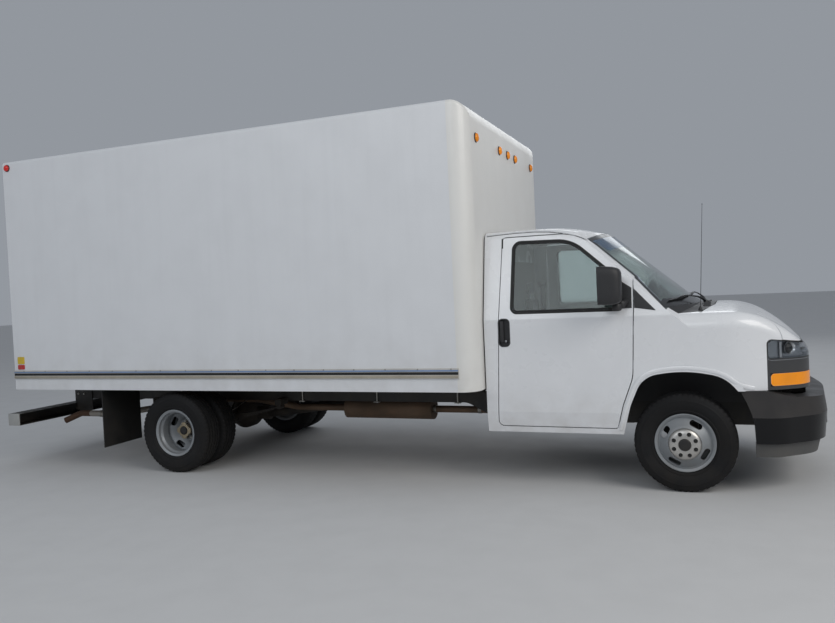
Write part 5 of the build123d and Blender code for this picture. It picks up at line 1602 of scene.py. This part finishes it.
# %% steering wheel trim, stalks and pedals
WHEEL_AT, WHEEL_TILT = spot(-0.745, 0.42, 1.175), math.radians(40)
TOWARD = Vector((-math.cos(WHEEL_TILT), 0, math.sin(WHEEL_TILT)))
across = Vector((0, -1, 0))
wheel_turn = Matrix((across, TOWARD.cross(across), TOWARD)).transposed()
turns = [math.tau * k / 40 for k in range(40)]
rings = [[WHEEL_AT + wheel_turn @ Vector((0.082 * rounded_power(math.cos(a), 0.75) * s,
                                          0.066 * rounded_power(math.sin(a), 0.75) * s - 0.006, h)) for a in turns]
         for s, h in ((1.0, -0.012), (1.02, 0.004), (0.97, 0.017), (0.80, 0.024), (0.45, 0.027))]
add("horn_pad", DASH_PLASTIC, skinned(rings), "steering_wheel")
stalks = []
for sign in (-1, 1):
    root = WHEEL_AT - TOWARD * 0.085 + Vector((0, sign * 0.028, 0))
    run = [root + Vector((x, sign * y, z)) for x, y, z in ((0, 0, 0), (0.004, 0.05, 0.012), (0.006, 0.115, 0.024),
                                                           (0.006, 0.150, 0.028))]
    stalks.append(tube(run, [0.0055, 0.005, 0.0065, 0.0085], 12))
add("column_stalks", BLACK_PLASTIC, joined(stalks))
pedals, arms = [], []
for y, z, wide, tall in ((0.345, 0.765, 0.05, 0.12), (0.44, 0.805, 0.09, 0.06), (0.60, 0.815, 0.06, 0.05)):
    pedals.append(plate(rounded_outline(centred(wide, tall), 0.008, 4), 0.010,
                        lambda u, v, d: spot(-0.555 + v * 0.45 + d * 0.9, y + u, z + v * 0.88 - d * 0.45)))
    arms.append(tube([spot(-0.545, y, z), spot(-0.515, y, z + 0.07), spot(-0.500, y, 0.965)], 0.006, 8))
add("pedal_pads", FLAP_RUBBER, joined(pedals), smooth=False)
add("pedal_arms", CHASSIS_PAINT, joined(arms))
print("wheel trim and pedals placed")

# %% visors, inside mirror and door trims
LINER = finish("headliner_grey", (0.33, 0.32, 0.31), 0.85, grain=(0.0018, 0.4), dust=None, sheen=0.2,
               slot="dash_plastic")
for side, sign in SIDES.items():
    a, b, c, d = (skin(["cab_shell"], spot(x, sign * y, 1.55), UP)[0] + DOWN * 0.022
                  for y in (0.14, 0.60) for x in (-0.80, -0.66))
    visor = plate(rounded_outline(rect(0, 0, 1, 1), 0.16), 0.012,
                  lambda u, v, t: a.lerp(b, u).lerp(c.lerp(d, u), v) + DOWN * t)
    add(f"sun_visor_{side}", LINER, visor, bevel=(0.004, 3))
glass_at, _ = skin(["windshield"], spot(-1.3, 0.0, 1.86), AHEAD)
centre = glass_at + Vector((-0.075, 0, -0.055))
face = Vector((-1, 0.22, -0.12)).normalized()
wide_way = face.cross(UP).normalized()
high_way = wide_way.cross(face)


def mirror_ring(half_wide, half_high, depth):
    ring = rounded_ring((0, 0, 0), half_wide, half_high, 3.2, 40)
    return [centre + wide_way * p.y + high_way * p.z + face * depth for p in ring]


shell = [mirror_ring(0.122 * s, 0.034 * s, depth)
         for s, depth in ((0.6, -0.022), (0.92, -0.016), (1.0, -0.004), (1.0, 0.004))]
add("inside_mirror_shell", BLACK_PLASTIC, skinned(shell))
glass = skinned([mirror_ring(0.116, 0.029, depth) for depth in (0.0025, 0.0045)])
add("inside_mirror_glass", MIRROR_GLASS, glass)
stem = tube([glass_at + BACKWARD * 0.006, centre - face * 0.02 + UP * 0.012], 0.006, 12)
add("inside_mirror_stem", BLACK_PLASTIC, stem)
columns = [-1.30 + 0.86 * k / 22 for k in range(23)]
rows = [0.74 + 0.52 * k / 12 for k in range(13)]
for side, sign in SIDES.items():
    name = f"door_{side}"
    walls = [[skin([name], spot(x, sign * 0.45, z), (0, sign, 0))[0] for z in rows] for x in columns]
    inside = min(abs(p.y) for column in walls for p in column if p is not None)
    inward, grid = Vector((0, -sign, 0)), []
    for x, column in zip(columns, walls):
        far = [abs(p.y) if p is not None else inside for p in column]
        grid.append([(spot(x, sign * min(y, inside + 0.035), z), inward) for y, z in zip(far, rows)])
    add(f"door_trim_{side}", DASH_PLASTIC, grid_shell(grid, 0.009, 0.001), name, bevel=(0.003, 2))
    print(side, "door inner wall", round(inside, 3))

# %% [markdown]
# The cab's back wall and roof are lined with grey board, which is what shows behind the seats
# through the side window. Each lining follows the steel at an even distance.

# %% linings
def lining(name, starts, way, lift):
    """A thin board that follows the cab shell; starts is rows of start points for the rays."""
    grid, last = [], None
    for row in starts:
        column = []
        for start in row:
            place, _ = skin(["cab_shell"], start, way)
            last = place if place is not None else last
            column.append((last, -way))
        grid.append(column)
    return add(name, LINER, grid_shell(grid, lift + 0.004, lift))


lining("back_wall_board", [[spot(-1.2, -0.80 + 0.08 * i, 0.98 + 0.07 * j) for j in range(13)] for i in range(21)],
       BACKWARD, 0.002)
lining("roof_board", [[spot(-1.40 + 0.08 * i, -0.64 + 0.08 * j, 1.6) for j in range(17)] for i in range(9)], UP, 0.003)
print("linings placed")

# %% [markdown]
# A rounded lip runs round each front wheel arch, a little above its edge. The arch's edge is
# found by stepping out from the axle until a ray from the side meets painted steel.

# %% arch lips
PAINTED_Y, ARCH_LIMIT, LIP_RISE = 0.90, 0.78, 0.030


def on_arch(names, angle, r, side):
    return on_side(names, math.cos(angle) * r, FRONT_AXLE.z + math.sin(angle) * r, side)


def painted(point):
    return point is not None and abs(point.y) > PAINTED_Y


for side, sign in SIDES.items():
    names, points, normals = ["fenders", "cab_shell", f"door_{side}"], [], []
    for angle in (math.radians(28 + k * 3.2) for k in range(46)):
        _, edge = farthest(lambda r: not painted(on_arch(names, angle, r, sign)[0]), 0.38, 0.80, 12)
        place, normal = on_arch(names, angle, edge + LIP_RISE, sign)
        if painted(place) and edge < ARCH_LIMIT:
            points.append(place)
            normals.append(normal)
    groups = [points[max(k - 2, 0):k + 3] for k in range(len(points))]
    run = [sum(group, Vector()) / len(group) for group in groups], normals
    bead(f"arch_lip_{side}", CAB_PAINT, run, 0.030, 0.006, sink=0.004)
    print("arch lip", side, len(points), "points")

# %% [markdown]
# ## Light, floor and camera view
# A pale floor takes the truck's shadow, two large soft lamps stand in for the bright sky to the
# front and right, a third fills the left side, and a pale world fills the shade. The levels are
# kept low enough that white paint doesn't clip.

# %% stage and lamps
floor = new_object("floor", mesh_of("floor", *slab((-60, -60, -0.02), (60, 60, 0)), merge=False))
floor.data.materials.append(finish("studio_floor", (0.62, 0.62, 0.62), 0.9, 0.03, (0.01, 0.0), None))
LAMPS = (("sky_front", (9, -5, 6.5), (6, 5), 375, (1, 0.97, 0.92)),
         ("sky_side", (-2, -11, 7), (10, 5), 275, (0.93, 0.97, 1)),
         ("sky_left", (-1, 11, 7), (10, 5), 205, (0.95, 0.98, 1)))
AIM = Vector((0, 0, 1.2))
for name, place, size, power, tint in LAMPS:
    data = bpy.data.lights.new(name, "AREA")
    data.shape, (data.size, data.size_y) = "RECTANGLE", size
    data.energy, data.color = power, tint
    lit = new_object(name, data)
    lit.location, lit.rotation_mode = place, "QUATERNION"
    lit.rotation_quaternion = (AIM - Vector(place)).to_track_quat("-Z", "Y")
world = bpy.data.worlds.new("pale_sky")
bpy.context.scene.world = world
world.use_nodes = True
sky = world.node_tree.nodes["Background"].inputs
sky[0].default_value, sky[1].default_value = (0.80, 0.86, 0.95, 1), 0.36
bpy.context.scene.view_settings.view_transform = "Standard"
print("lamps", len(bpy.data.lights))
